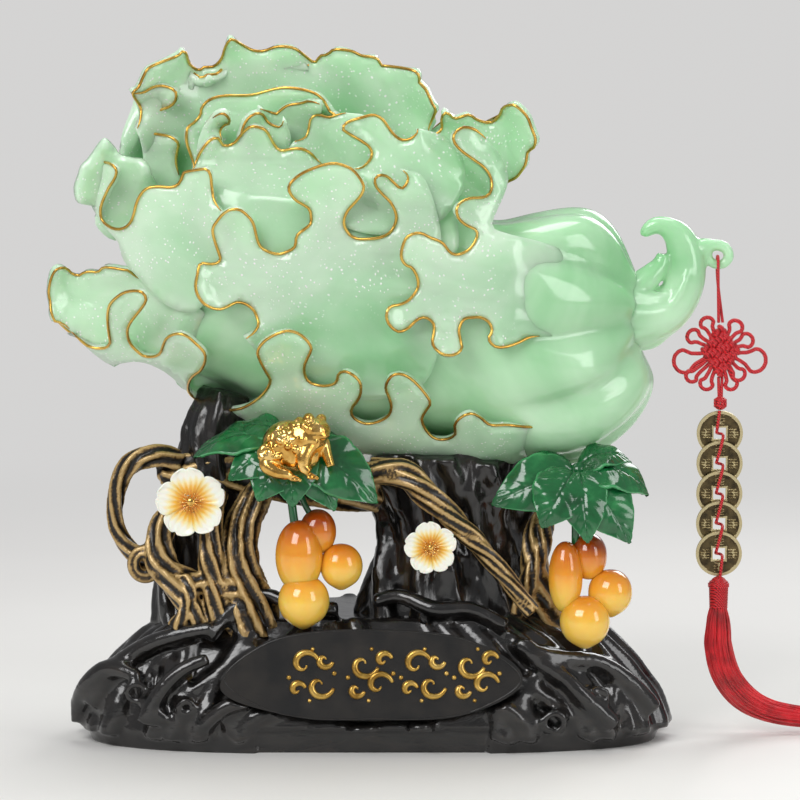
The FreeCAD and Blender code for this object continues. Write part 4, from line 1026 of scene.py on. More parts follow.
LOWER_REST = [(108, 164), (126, 172), (135, 176), (136, 166), (127, 156), (112, 146), (92, 140.5),
    (66, 138.5), (20, 138.5), (4, 142), (-30, 151), (-62, 160), (-78, 168), (-95, 179), (-106, 189),
    (-116, 194.5), (-124, 196), (-131, 195), (-137, 194.5), (-145, 200), (-151.5, 206)]
RIGHT_RIM = [(86.5, 209.4), (80.8, 208.6), (74.7, 205.6), (68.6, 203.7), (63.3, 204), (60, 208),
    (61.7, 211.7), (60.6, 216), (56.4, 219), (51, 219), (47, 218), (44.6, 212.5), (45.7, 206), (46, 202.5),
    (42, 199.6), (36, 200), (31, 205), (31.6, 211.7), (31.3, 216), (27.4, 219), (23, 218), (18.3, 213.6),
    (13, 211.7), (8, 216), (7, 221), (9, 224.7), (14.5, 226), (19, 228.5), (23, 234), (23.2, 239),
    (20.6, 244.6), (16.8, 246.5), (14.6, 250.7), (15.6, 257), (18.3, 261.4), (24.4, 263), (29.7, 260.6),
    (35.8, 258), (40.4, 252.6), (45, 252), (50.3, 255), (53.7, 260.6), (53.4, 264.5), (48.4, 267),
    (44.3, 270.7), (43.3, 275.5), (45.7, 279), (50.5, 281), (56.7, 281.4), (60, 283), (61.5, 286.6),
    (60.8, 292), (57.4, 297), (52, 301), (46.4, 305), (42.6, 309), (41.5, 312.7), (43.6, 316), (47.7, 317.7),
    (52.5, 316.5), (56.7, 313.4), (59.4, 310.7)]
RIGHT_REST = [(66, 303), (70, 292), (68, 283), (64, 274), (62, 266), (72, 262), (88, 258), (106, 250),
    (120, 237), (124, 225), (118, 214), (102, 210)]
FRONT_RIM = [(-66, 208), (-62, 211), (-59.5, 215), (-60, 218.6), (-62, 223), (-66, 226), (-70.5, 227),
    (-75, 225), (-79, 223.4), (-83.5, 224), (-88, 226.6), (-91, 231), (-92, 235.4), (-91, 241.5),
    (-89.6, 247), (-85.7, 247), (-82, 247), (-79, 249), (-80, 253), (-82, 259), (-83, 265), (-80, 270),
    (-77.3, 273), (-73.8, 275), (-69, 275), (-65, 272), (-62, 268), (-60, 260), (-58.3, 256), (-54.5, 253.4),
    (-49, 252), (-44, 253.5), (-40.4, 256), (-39.5, 261.4), (-35.4, 265), (-32.4, 267.5), (-32, 270),
    (-32.7, 275), (-36, 277.6), (-40, 280), (-43, 284), (-43.3, 287.6), (-40, 291.4), (-35.3, 294.5),
    (-26.4, 298), (-20, 299), (-15.4, 298), (-11, 296), (-8, 293), (-5.4, 289), (-4.7, 286), (-6.5, 282),
    (-10, 278), (-13.4, 274), (-15, 269.4), (-14.5, 266), (-12, 262), (-8, 260), (-1, 260), (5, 261),
    (9.5, 264), (12, 269.4), (11.6, 274), (9, 279), (5, 283), (1.7, 287), (1, 290.7), (2.3, 292.4),
    (4.4, 293), (7.8, 292), (11.3, 288.6), (14.7, 286), (17.5, 288.6), (18.2, 292), (16.8, 294.5),
    (15, 295.5)]
FRONT_REST = [(26, 292), (34, 270), (36, 245), (36, 212), (26, 184), (0, 176), (-30, 180), (-52, 192)]
MIDDLE_RIM = [(-146, 292), (-141, 298.3), (-138.5, 299.7), (-135, 298.3), (-132.6, 295.5), (-133.4, 291.4),
    (-136.5, 286.6), (-138.7, 282), (-140, 279), (-141, 275), (-140.4, 270), (-137, 266.6), (-133, 265),
    (-129.4, 265.4), (-126.7, 267), (-124.7, 270), (-123.6, 273.5), (-122.5, 278), (-120.5, 282.4),
    (-117, 286), (-111.5, 287), (-104.7, 286.6), (-101, 288), (-98.8, 291.4), (-98, 294), (-95, 295),
    (-91.7, 295.5), (-86.3, 296), (-84, 293), (-83.3, 286.6), (-82.3, 280.4), (-79.6, 275.6), (-78, 274)]
MIDDLE_REST = [(-74, 262), (-80, 240), (-92, 222), (-108, 226), (-122, 240), (-129.4, 249), (-132, 258),
    (-137, 264), (-143, 272), (-147, 281)]
UPPER_RIM = [(23.3, 317), (23, 315), (20, 312), (15.4, 311), (11.3, 313.4), (8, 317.6), (5, 321.7),
    (0.5, 324), (-5.6, 322.7), (-12.8, 320.3), (-15.6, 317), (-11.8, 314), (-5, 310), (-1.5, 307),
    (-0.5, 303), (-3, 299), (-6.3, 296.6), (-11, 296)]
UPPER_REST = [(-26, 290), (-24, 272), (0, 262), (30, 266), (46, 284), (46, 304), (34, 314)]
CROWN_RIM = [(-121.6, 317), (-120, 322), (-120, 328), (-124, 335), (-121, 338), (-118.4, 343.7),
    (-115.7, 348), (-109.5, 351), (-100.6, 354.4), (-97.5, 357), (-95.7, 354), (-94.7, 350.3), (-90, 347),
    (-87, 348.6), (-82, 349), (-78, 353), (-76, 359), (-73, 363), (-69, 361), (-65.5, 359), (-61, 357),
    (-56, 357), (-50, 359), (-43.5, 359), (-39, 357.5), (-34.5, 354), (-30, 351), (-27, 354.4), (-23.5, 355),
    (-20.4, 357.5), (-15, 357.5), (-10, 356.5), (-5.6, 354.4), (0, 353.7), (3.3, 352), (4, 349.6), (9, 349),
    (16, 348), (21.6, 346.5), (24, 343.7), (23.7, 341), (27, 337.5), (29, 333.4), (31, 329), (32.5, 326.5),
    (31, 322.4), (29, 317.6), (28.6, 313.4)]
CROWN_REST = [(30, 296), (14, 284), (-20, 276), (-70, 270), (-104, 276), (-116, 296), (-118, 304.5)]
FAR_RIGHT_RIM = [(28.6, 313.4), (30.5, 313), (35.4, 316.5), (35.5, 322.4), (37.4, 325), (40, 324), (42, 322),
    (45.7, 323), (50, 324), (54, 321.4), (60.5, 320), (65, 323), (66.6, 327), (69, 328.7), (73, 329),
    (77, 326), (80, 322.4), (82, 317), (84, 311.4), (83, 307), (80, 305), (79, 299), (77, 295.5),
    (74, 291.7), (69, 289), (65, 285)]
FAR_RIGHT_REST = [(62, 274), (52, 264), (26, 268), (20, 290)]
leaf("leaf_lower", "leaf_lower_front", LOWER_RIM, LOWER_REST, under=1.0, flare=4.6, widest=11.0)
leaf("leaf_right", "leaf_right_front", RIGHT_RIM, RIGHT_REST, under=2.6, flare=3.6, fold=0.5)
leaf("leaf_front", "leaf_middle_front", FRONT_RIM, FRONT_REST, under=5.2, flare=5.0, fold=0.8)
leaf("leaf_middle", "leaf_middle_left", MIDDLE_RIM, MIDDLE_REST, under=6.4, flare=5.0, fold=0.8)
leaf("leaf_upper", "leaf_upper_front", UPPER_RIM, UPPER_REST, under=8.6, flare=5.0, fold=0.7)


def bowl(top_depth, low_depth, top=345.0, low=285.0):
    """Depth of a leaf that stands behind the opening: low_depth at its foot, top_depth at its rim."""
    def depth(x, z):
        t = clamped((z - low) / (top - low))
        return -(low_depth + (top_depth - low_depth) * t - 0.0009 * (x + 30) ** 2)
    return depth


# The leaves that stand up behind the opening, their pale inner faces towards the front
leaf("leaf_crown", "leaf_crown_back", CROWN_RIM, CROWN_REST, flare=4.5, fold=1.5, level=bowl(2, 10),
     pleat=1.1, sheet=3.2)
leaf("leaf_far_right", "leaf_crown_right", FAR_RIGHT_RIM, FAR_RIGHT_REST, flare=4.0, fold=1.5,
     level=bowl(-14, 0, 325, 268), pleat=1.0, sheet=3.2)
LEFT_FOLD_RIM = [(-124, 335), (-118.5, 335.5), (-114, 338), (-109.5, 339), (-104.7, 338), (-101.6, 335.5),
    (-102, 331), (-105.4, 328), (-110, 326.5), (-115, 324), (-117.4, 322.7), (-120.5, 319.6), (-120, 317),
    (-117, 315), (-111, 314), (-105.4, 313), (-102, 311), (-100.3, 308.6), (-101.3, 304.5), (-101.7, 299),
    (-100, 291.7)]
LEFT_FOLD_REST = [(-92, 262), (-108, 256), (-120, 270), (-119, 296), (-119, 305), (-121.6, 317), (-121, 325)]
leaf("leaf_left_fold", None, LEFT_FOLD_RIM, LEFT_FOLD_REST, flare=4.0, fold=1.0, level=bowl(6, 4), sheet=3.0)
RING_RIM = [(-92.3, 295.5), (-92.7, 299), (-94.3, 304), (-96, 309), (-96.3, 313.4), (-95.6, 317.6),
    (-92, 320.3), (-89, 324), (-88.6, 327), (-86, 330.6), (-81.3, 333), (-75, 334), (-68, 334), (-62, 334.4),
    (-50, 337.5), (-43.5, 338), (-36, 337), (-29.7, 335), (-25.6, 331.7), (-24, 329), (-21.5, 325),
    (-18.7, 324), (-23, 322.7), (-28, 324), (-31.8, 322.4), (-33, 318), (-33.8, 314), (-36.6, 311.4),
    (-42, 310)]
RING_REST = [(-40, 300), (-22, 296), (-20, 280), (-50, 274), (-84, 278), (-90, 288)]
leaf("leaf_ring", "leaf_inner", RING_RIM, RING_REST, flare=4.0, fold=1.0, sheet=3.0,
     level=lambda x, z: 16.0 - (z - 300) * 0.1)
FOREHEART_RIM = [(-93, 296), (-89, 305), (-84, 311), (-80, 312), (-78, 309), (-76.5, 308), (-72.4, 309),
    (-69.6, 311.7), (-67, 315), (-62.7, 318), (-57, 317), (-54.5, 315), (-51.7, 310), (-49.7, 307),
    (-47, 305.5), (-42, 306.5), (-37, 306.5), (-32.5, 304.5), (-29, 301), (-26.3, 298.6)]
FOREHEART_REST = [(-20, 294), (4, 299), (34, 290), (42, 250), (-10, 236), (-70, 240), (-95, 262), (-95, 285)]


def heart_depth(x, z):
    """Depth of the leaf that closes the opening: it comes forward under the leaves in front of it."""
    return min(30 + 0.95 * max(0.0, 300 - z) + 0.3 * max(0.0, x + 20), max(30.0, plump(x, z, 10.5)))


leaf("leaf_heart", None, FOREHEART_RIM, FOREHEART_REST, flare=4.5, fold=0.9, level=heart_depth, sheet=3.0)
leaf("leaf_ring_end", None, [(-14, 325)] + RING_RIM[-8:],
     [(-44, 300), (-30, 290), (6, 290), (9, 311), (-2, 323)], flare=2.0, fold=0.6, sheet=3.0, gold_radius=0.7,
     level=lambda x, z: 21.0 + (324 - z) * 0.2)

# The tightly curled heart: three small leaves, each at a depth of its own
HEARTS = [
    ("heart_left", 22.0, [(-82.7, 322.4), (-79, 324.6), (-75.8, 324), (-73.7, 320), (-77, 318.6),
                          (-79, 315.5), (-78, 310.7)],
     [(-77, 296), (-90, 296), (-90, 312)]),
    ("heart_middle", 20.0, [(-69, 312), (-66, 320), (-62, 324), (-57.4, 324.6), (-54, 320), (-50, 318),
                            (-47.6, 317.7), (-46.6, 320), (-45.5, 322.4)],
     [(-42, 310), (-46, 298), (-66, 298)]),
    ("heart_right", 13.0, [(-58, 327), (-54.5, 326), (-49.7, 324.5), (-47.6, 326.5), (-43.5, 329), (-37, 330),
                           (-33.8, 331), (-29.7, 330.4), (-25.6, 328.6)],
     [(-30, 316), (-34, 300), (-52, 298), (-58, 312)])]
for number, (name, deep, rim, hidden) in enumerate(HEARTS, start=1):
    leaf(name, f"heart_curl_{number}", rim, hidden, flare=3.0, fold=1.2, level=lambda x, z, deep=deep: deep,
         sheet=3.0, widest=6.0, gold_radius=0.75)

# The rolled edges: a scroll at the far left, and the lower left lobe whose inner face shows
SMALL_CURL_RIM = [(-117, 296), (-120.7, 300), (-125.5, 301), (-131, 303), (-133, 306), (-136, 309),
    (-138.6, 309.6), (-141, 308), (-144, 304), (-147, 300), (-150, 297), (-152, 291), (-153, 286),
    (-152, 281), (-150, 278), (-145, 277), (-141, 277)]
leaf("leaf_curl", "leaf_curl_left", SMALL_CURL_RIM, [(-144, 268), (-134, 259), (-121, 265), (-110, 282)],
     flare=4.5, fold=1.2, level=lambda x, z: 8.0, sheet=3.6, gold=False)
LOBE_RIM = [(-118, 238), (-123, 240.6), (-126.7, 243.4), (-130, 244), (-136, 245), (-140, 245),
    (-142.6, 242.7), (-146.7, 243), (-150, 242.4), (-152, 241), (-155.7, 241.7), (-158, 244), (-160.5, 245),
    (-164, 244), (-166.4, 240.6), (-167.7, 236), (-168.2, 231.6), (-167.4, 227), (-167, 222), (-165, 217),
    (-163, 216.7), (-159, 214.6), (-156.3, 211.5)]
LOBE_REST = [(-150, 206), (-142, 203), (-128, 206), (-110, 192), (-92, 178), (-78, 168), (-66, 172),
    (-72, 205), (-96, 228)]


def lobe_depth(x, z):
    """Depth of the lower left lobe: it leans back at its tip and hugs the head at its root."""
    share = clamped((x + 120) / 26.0)
    return (10.0 + (x + 168) * 0.25) * (1 - share) + plump(x, z, 5.0 + 0.5 * max(0.0, x + 102)) * share


leaf("leaf_lobe", None, LOBE_RIM, LOBE_REST, flare=5.0, fold=1.2, level=lobe_depth, sheet=3.6,
     gold_radius=0.7)

# The back of the head: the same kinds of leaves seen from behind
BACK_RIM = [(-128, 244), (-138, 240), (-150, 238), (-163, 236), (-166, 222), (-158, 212), (-146, 206),
    (-138, 214), (-128, 226), (-118, 222), (-116, 206), (-106, 198), (-94, 204), (-84, 214), (-72, 210),
    (-70, 196), (-62, 186), (-50, 190), (-40, 202), (-28, 200), (-24, 186), (-14, 176), (0, 180), (12, 190),
    (24, 186), (30, 172), (42, 164), (56, 168), (72, 168), (88, 162)]
leaf("back_lower", "leaf_lower_back", BACK_RIM, LOWER_REST[:-2] + [(-158, 214), (-164, 230), (-140, 236)],
     under=1.0, flare=6.0, back=True)
BACK_MIDDLE_RIM = [(-146, 292), (-138, 300), (-128, 296), (-126, 282), (-116, 272), (-104, 278), (-98, 292),
    (-88, 298), (-78, 290), (-76, 274), (-66, 264), (-54, 268), (-48, 282), (-38, 292), (-26, 288),
    (-20, 272), (-10, 262), (4, 266), (10, 280), (20, 288), (30, 280), (32, 264), (44, 256), (58, 260),
    (72, 256), (86, 244), (100, 236)]
BACK_MIDDLE_REST = [(118, 226), (112, 196), (84, 176), (30, 168), (-30, 170), (-84, 188), (-116, 206),
                    (-118, 232), (-122, 252), (-134, 276)]
leaf("back_middle", "leaf_middle_back", BACK_MIDDLE_RIM, BACK_MIDDLE_REST, under=5.5, flare=7.0, fold=0.9,
     back=True)
BACK_CROWN = [(x * 0.985, z - 4) for x, z in CROWN_RIM[3:-2]]
leaf("back_crown", None, BACK_CROWN, [(20, 300), (0, 262), (-60, 250), (-110, 262), (-130, 290), (-130, 312)],
     under=9.0, flare=5.0, fold=1.2, back=True, sheet=3.2)
BACK_RIGHT = [(30, 316), (40, 322), (52, 318), (62, 322), (72, 326), (80, 318), (80, 304), (72, 292),
    (60, 286), (62, 272)]
leaf("back_right", None, BACK_RIGHT, [(30, 252), (-10, 262), (6, 300)], under=7.5, flare=5.0, fold=1.2,
     back=True, sheet=3.2)

# The solid heart of the casting, which fills the head behind the leaves and is cut off level
# under the opening
core_points = []
BANDS, CORE_AROUND, CORE_SHARE, CORE_DEPTH, CORE_TOP = 30, 120, 0.70, 43.0, 246
for i in range(BANDS + 1):
    slope = math.radians(-86 + 172 * i / BANDS)
    for k in range(CORE_AROUND):
        turn = 2 * math.pi * k / CORE_AROUND - math.pi
        out = reach_towards(head_reach, turn) * CORE_SHARE * math.cos(slope) ** 0.85
        x, z = HEAD_CENTRE[0] + out * math.cos(turn), HEAD_CENTRE[1] + out * math.sin(turn)
        z = min(z, CORE_TOP + 0.14 * (z - CORE_TOP))
        core_points.append(Vector((x, CORE_DEPTH * math.sin(slope), z)) * MM)
core = piece("jade_core", (core_points, tube_faces(BANDS + 1, CORE_AROUND)), jade_smooth)
mark_whole(core, blade=0.0)

# The root end of the cabbage. It is cast with the stalk: a collar of short roots that narrows
# into a tip curled back on itself, and an arm that ends in the ring for the cord.
tip_parts = [
    limb([(130, 221, 0, 20), (139, 220.5, 0, 17.4), (150, 222, 0, 13.2), (158, 229, 0, 11.0),
          (162, 240, 0, 10.4), (162, 251, 0, 9.6), (158, 261, 0, 7.8), (151.5, 266.2, 0, 5.4),
          (145.5, 266.6, 0, 4.4), (141.5, 263.5, 0, 3.4), (141.0, 261.0, 0, 2.0)], sides=24, flat=0.92),
    limb([(158, 238, 0, 7), (165, 250, 0, 6.4), (170, 255.5, 0, 4.8), (176, 256.8, 0, 3.2),
          (182, 255.6, 0, 3.0), (184.4, 251, 0, 2.8), (182, 247.2, 0, 2.6), (177.5, 246.6, 0, 2.5),
          (173.6, 249.6, 0, 2.6), (172.8, 254, 0, 3.2)]),
    limb([(132, 210, 0, 9), (143, 208, 0, 6), (150, 211, 0, 4.4), (155, 214, 0, 3.0)]),
    limb([(136, 234, -4, 8), (143, 240, -4, 6.5), (148.6, 246, -3, 5), (150.6, 252, -3, 3.4)])]
for number in range(9):
    turn = math.radians(number * 40 + 15)
    y, z = 14.5 * math.cos(turn), 15.5 * math.sin(turn)
    tip_parts.append(limb([(134, 220 + z, y, 4.6), (145, 220.5 + z * 0.78, y * 0.78, 3.6),
                           (154, 224 + z * 0.6, y * 0.6, 3.0), (160, 233 + z * 0.35, y * 0.62, 2.6),
                           (163.5, 244, y * 0.55, 2.0)], 5, sides=10))
tip = piece("root_end", together(tip_parts), jade_smooth)
melted(tip, 0.9, 7)
mark_whole(tip, blade=0.0)
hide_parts("root_tip")

# The pendant. A doubled red silk cord hangs from the ring of the root end. It is tied in a
# flat woven knot with ten loops, then in a button knot, and runs on down through five brass
# cash coins into a tassel that lies out on the table.
silk_cord, tree, shader = surface("red_silk_cord", (0.60, 0.008, 0.016), 0.42, Sheen_Weight=0.5,
                                  Sheen_Roughness=0.4, Sheen_Tint=(1.0, 0.35, 0.3, 1))
# The ply pattern colours the cord darker in the grooves between its strands, as painted shade, and paler on
# their crests, as a painted highlight; the silk itself is one even red
ply = node(tree, "TexWave", {"Vector": place_of(tree), "Scale": 420.0, "Distortion": 1.5, "Detail": 1.0},
           bands_direction="DIAGONAL").outputs[1]
coloured(tree, shader, ply, [(0.2, (0.26, 0.003, 0.008)), (0.6, (0.62, 0.008, 0.018)),
                             (0.9, (0.78, 0.02, 0.03))])
raised(tree, shader, ply, 0.6, 0.0003)
STRING_X, CORD = 180.4, 1.6


def at(x, y, z):
    """A place in millimetres."""
    return Vector((x, y, z)) * MM


def free_cord(name, node_name, body, points):
    """A cord on one smooth line whose points are its route's, in millimetres."""
    curve = bpy.data.curves.new(name, "CURVE")
    curve.dimensions = "3D"
    spline = curve.splines.new("NURBS")
    spline.points.add(len(points) - 1)
    for point, place in zip(spline.points, points):
        point.co = (*at(*place), 1)
    spline.order_u = 3
    spline.use_endpoint_u = True
    curve.resolution_u = 10
    curve.bevel_depth = CORD / 2 * MM
    curve.bevel_resolution = 4
    curve.materials.append(silk_cord)
    made = bpy.data.objects.new(name, curve)
    bpy.context.scene.collection.objects.link(made)
    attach(made, body)
    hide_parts(node_name)


def ply_line(places, radius, turns):
    """A twisted cord along places."""
    return swept(places, [radius * MM] * len(places), sides=10, ridges=3, ridge=0.12, twist=turns)


def knot_piece(name, node_name, parts):
    made = piece(name, together(parts), silk_cord, body="coin_string")
    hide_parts(node_name)
    return made


# The woven knot: two layers of cord crossing in a diamond, and loops round its edge
KNOT_AT = Vector((STRING_X, 0, 201.5))
DIAMOND_WIDE, DIAMOND_TALL, PLIES = 10.0, 13.8, 7
knot_parts = []
for layer_number, ax in enumerate((1, -1)):
    for number in range(PLIES):
        share = -1 + (2 * number + 1) / PLIES
        middle = Vector((-ax * share * DIAMOND_WIDE / 2, 0, share * DIAMOND_TALL / 2))
        way = Vector((ax * DIAMOND_WIDE / 2, 0, DIAMOND_TALL / 2))
        path = []
        for step in range(-14, 15):
            t = step / 14
            weave = math.sin((t * PLIES / 2 + 0.5 * number + 0.5 * layer_number) * math.pi)
            path.append((KNOT_AT + middle + way * (t * 1.03) + Vector((0, -0.85 * weave, 0))) * MM)
        for depth in (-0.9, 0.9):
            knot_parts.append(ply_line([p + at(0, depth, 0) for p in path], 1.12, 2.0))
for x, z, radius in [(-18.2, -5.2, 6.0), (17.6, -4.7, 6.0), (-6.9, 14.2, 3.4), (-13.7, 7.6, 3.6),
                     (7.6, 12.4, 3.6), (13.2, 5.5, 3.6), (-14.6, -12.8, 3.2), (-7.0, -16.6, 3.4),
                     (9.4, -11.8, 3.4), (5.6, -16.8, 3.2)]:
    middle = KNOT_AT + Vector((x, 0, z))
    way = Vector((x, 0, z)).normalized() * radius
    side = Vector((-way.z, 0, way.x))
    reach = 1 / (abs(way.x) / DIAMOND_WIDE + abs(way.z) / DIAMOND_TALL) - 1.5 / radius
    foot = KNOT_AT + way * reach
    rows = [foot - side * 1.1 / radius, middle - way * 0.75 - side * 0.5, middle - side,
            middle + way * 0.72 - side * 0.72, middle + way, middle + way * 0.72 + side * 0.72, middle + side,
            middle - way * 0.75 + side * 0.5, foot + side * 1.1 / radius]
    line = smooth_line([(p.x, p.y + (0.4 if i > 4 else -0.4), p.z) for i, p in enumerate(rows)], 6)
    knot_parts.append(ply_line([at(*p) for p in line], 1.05, 5.0))
woven_knot = knot_piece("woven_knot", "chinese_knot", knot_parts)
tail_parts = [ply_line([at(STRING_X + side * 0.95 * (1 - 0.4 * t), -1.6 * t, 188 - 12 * t)
                        for t in (0, 0.25, 0.5, 0.75, 1.0)], 0.8, 2.0) for side in (-1, 1)]
tails = knot_piece("knot_tails", "knot_cord", tail_parts)
BUTTON_Y, BUTTON_Z = -1.6, 174.6
button_parts = []
for tilt in range(4):
    spin = math.radians(tilt * 45 + 20)
    ring = []
    for k in range(29):
        turn = 2 * math.pi * k / 28
        flat = Vector((math.cos(turn) * math.cos(spin), math.cos(turn) * math.sin(spin), math.sin(turn)))
        ring.append((Vector((STRING_X, BUTTON_Y, BUTTON_Z)) + flat * 2.75) * MM)
    button_parts.append(ply_line(ring, 0.9, 4.0))


def coil(middle_y, z, radius, climb=0.0, steps=16):
    """One turn round the string's own line, that climbs by so much."""
    return [at(STRING_X + radius * math.cos(k * math.pi / steps),
               middle_y + radius * math.sin(k * math.pi / steps),
               z + climb * k / (2 * steps)) for k in range(2 * steps + 1)]


for rise in (-1.5, 1.5):
    button_parts.append(ply_line(coil(BUTTON_Y, BUTTON_Z + rise, 2.6, steps=12), 0.85, 4.0))
button = knot_piece("button_ball", "button_knot", button_parts)

# The coins: cast brass cash coins, worn dark in the hollows and bright on the rims
coin_finish, tree, shader = surface("antique_brass", (0.20, 0.15, 0.07), 0.42, Metallic=0.8)
worn = sums(tree, "ADD", kept(tree, "height"), sums(tree, "MULTIPLY", cloudy(tree, 260.0, 5.0), 0.7))
coloured(tree, shader, worn, [(0.35, (0.035, 0.026, 0.014)), (0.7, (0.17, 0.125, 0.055)),
                              (1.05, (0.36, 0.29, 0.14)), (1.5, (0.55, 0.47, 0.27))])
raised(tree, shader, cloudy(tree, 900.0, 4.0), 0.5, 0.0004)
TOP_COIN, COIN_STEP, COIN_LEAN = 158.6, 15.8, math.radians(8)
COIN_RADIUS, HOLE = 12, 3.2
COIN_RINGS = (3, 3.6, 4.2, 4.5, 5, 5.6, 6.2, 6.8, 7.4, 8, 8.6, 9.2, 9.8, 10.2, 10.5, 11, 11.6, 12)


def coin_relief(x, z):
    """How much of the full relief a place of a coin's face has: rims, or plain strokes in the four fields."""
    if math.hypot(x, z) > 10.4 or max(abs(x), abs(z)) < 4.2:
        return 1.0
    for cx, cz in ((0, 7.3), (0, -7.3), (7.3, 0), (-7.3, 0)):
        u, w = x - cx, z - cz
        if abs(u) < 2.4 and abs(w) < 2.4 and (abs((w * 1.25) % 1.9 - 0.9) < 0.34 or abs(u) < 0.38):
            return 0.8
    return 0.0


def coin(number):
    """A cash coin with a square hole, leaning back on the string."""
    middle = Vector((STRING_X, 0, TOP_COIN - COIN_STEP * (number - 1)))
    points, heights, faces = [], [], []
    turns, rings = 96, len(COIN_RINGS)
    for face_side in (-1, 1):
        for radius in COIN_RINGS:
            for k in range(turns):
                c, s = math.cos(2 * math.pi * k / turns), math.sin(2 * math.pi * k / turns)
                square = HOLE / max(abs(c), abs(s))
                reach_out = square + (COIN_RADIUS - square) * ((radius - 3) / 9)
                x, z = reach_out * c, reach_out * s
                relief = coin_relief(x, z)
                y = face_side * (0.42 + 0.33 * relief)
                points.append((middle + Vector((x, y * math.cos(COIN_LEAN) - z * math.sin(COIN_LEAN),
                                                y * math.sin(COIN_LEAN) + z * math.cos(COIN_LEAN)))) * MM)
                heights.append(0.12 + 0.75 * relief)

    def corner(face_side, i, k):
        return ((face_side > 0) * rings + i) * turns + k % turns

    for face_side in (-1, 1):
        for i in range(rings - 1):
            for k in range(turns):
                quad = [corner(face_side, i + di, k + dk) for di, dk in ((0, 0), (0, 1), (1, 1), (1, 0))]
                faces.append(quad if face_side > 0 else quad[::-1])
    for k in range(turns):
        for i in (0, rings - 1):
            quad = [corner(face_side, i, k + dk) for face_side, dk in ((-1, 0), (-1, 1), (1, 1), (1, 0))]
            faces.append(quad[::-1] if i else quad)
    made = piece(f"cash_coin_{number}", (points, faces, heights), coin_finish, body="coin_string",
                 smooth=False)
    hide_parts(f"coin_{number}")
    return made


coins = [coin(number) for number in range(1, 6)]

# The tassel: silk threads bound under a wrapped head, hanging and then lying on the table
silk, tree, shader = surface("tassel_silk", (0.55, 0.006, 0.014), 0.38, Sheen_Weight=0.6,
                             Sheen_Roughness=0.35, Sheen_Tint=(1.0, 0.4, 0.35, 1))
coloured(tree, shader, cloudy(tree, 130.0, 4.0), [(0.3, (0.30, 0.003, 0.008)), (0.55, (0.60, 0.008, 0.018)),
                                                  (0.8, (0.82, 0.03, 0.04))])
head_parts = [swept([at(STRING_X, 0, z) for z in (66.4, 70, 74, 78)], [r * MM for r in (4.2, 4.5, 4.7, 4.4)],
                    sides=28)]
for number in range(11):
    winding = coil(0, 66.9 + number * 0.92, 4.35 + 0.28 * (number / 10), 0.92)
    head_parts.append(swept(winding, [0.5 * MM] * 33, sides=6))
for number in range(6):
    winding = coil(0, 76.2 + number * 1.05, 4.7 * math.sin(math.radians(35 + number * 22)) + 0.3)
    head_parts.append(swept(winding, [0.72 * MM] * 33, sides=8))
head_parts.append(ball(at(STRING_X, 0, 79.0), 4.6, rings=12, sides=20))
wrapped = piece("tassel_wrapping", together(head_parts), silk_cord, body="tassel")
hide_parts("tassel_head")
# The middle line of the skirt as (x, z, y, radius)
SKIRT = [(180.4, 68.0, 0, 3.9), (180.3, 62, 0, 5.6), (180.2, 55.5, 0, 6.6), (180.2, 47, 0, 7.4),
         (183, 35.5, 0, 7.6), (188.6, 25.4, 0, 7.4), (197, 17.4, 1, 6.8), (208.5, 11.8, 2, 6.0),
         (222, 9.0, 3, 5.4), (235, 8.0, 3, 5.2)]
THREADS, SHORTEST, ON_TABLE = 420, 22, 0.55
skirt_line = smooth_line(SKIRT, 6)
last = len(skirt_line) - 1
random.seed(21)
thread_parts = []
for number in range(THREADS):
    turn = random.uniform(0, 2 * math.pi)
    spread = math.sqrt(random.uniform(0.02, 1.0))
    drift, phase = random.uniform(-0.3, 0.3), random.uniform(0, 6.28)
    stop = max(SHORTEST, last + 1 - int(random.expovariate(0.9) * 3))
    path = []
    for i, (x, z, y, radius) in enumerate(skirt_line[:stop]):
        before, after = skirt_line[max(i - 1, 0)], skirt_line[min(i + 1, last)]
        along = Vector((after[0] - before[0], 0, after[1] - before[1])).normalized()
        up = Vector((-along.z, 0, along.x))
        t = i / last
        a = turn + drift * t + 0.08 * math.sin(5 * t + phase)
        loose = 0.94 + 0.07 * math.sin(9 * t + phase * 2)
        outward = up * math.cos(a) + Vector((0, 1, 0)) * math.sin(a)
        place = Vector((x, y, z)) + outward * radius * spread * loose
        place.z = max(place.z, ON_TABLE)
        path.append(place * MM)
    thread_parts.append(swept(path, [0.42 * MM] * len(path), sides=4))
skirt = piece("tassel_threads", together(thread_parts), silk, body="tassel")
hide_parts("tassel_skirt")

# The two cords. The first runs once through the ring, the second through every coin's hole
free_cord("hanging_cord", "hanging_loop", "loop",
          [(179.35, -0.1, 216.45), (179.0, -2.0, 228.0), (178.6, -3.95, 240.5), (178.6, -3.95, 250.95),
           (178.6, 3.95, 250.95), (178.6, 3.95, 240.5), (180.0, 2.2, 228.0), (181.45, 0.1, 216.45)])
string_points = [(180.0, -2.97, 170.8)]
for number in range(5):
    z = TOP_COIN - COIN_STEP * number
    string_points += [(178.7, -3.57, z + 1.3), (178.7, 1.9, z - 0.1), (182.1, 1.9, z - 0.5),
                      (182.1, -3.57, z - 1.9)]
string_points.append((181.0, -1.0, 83.05))
free_cord("coin_string", "coin_cord", "coin_string", string_points)

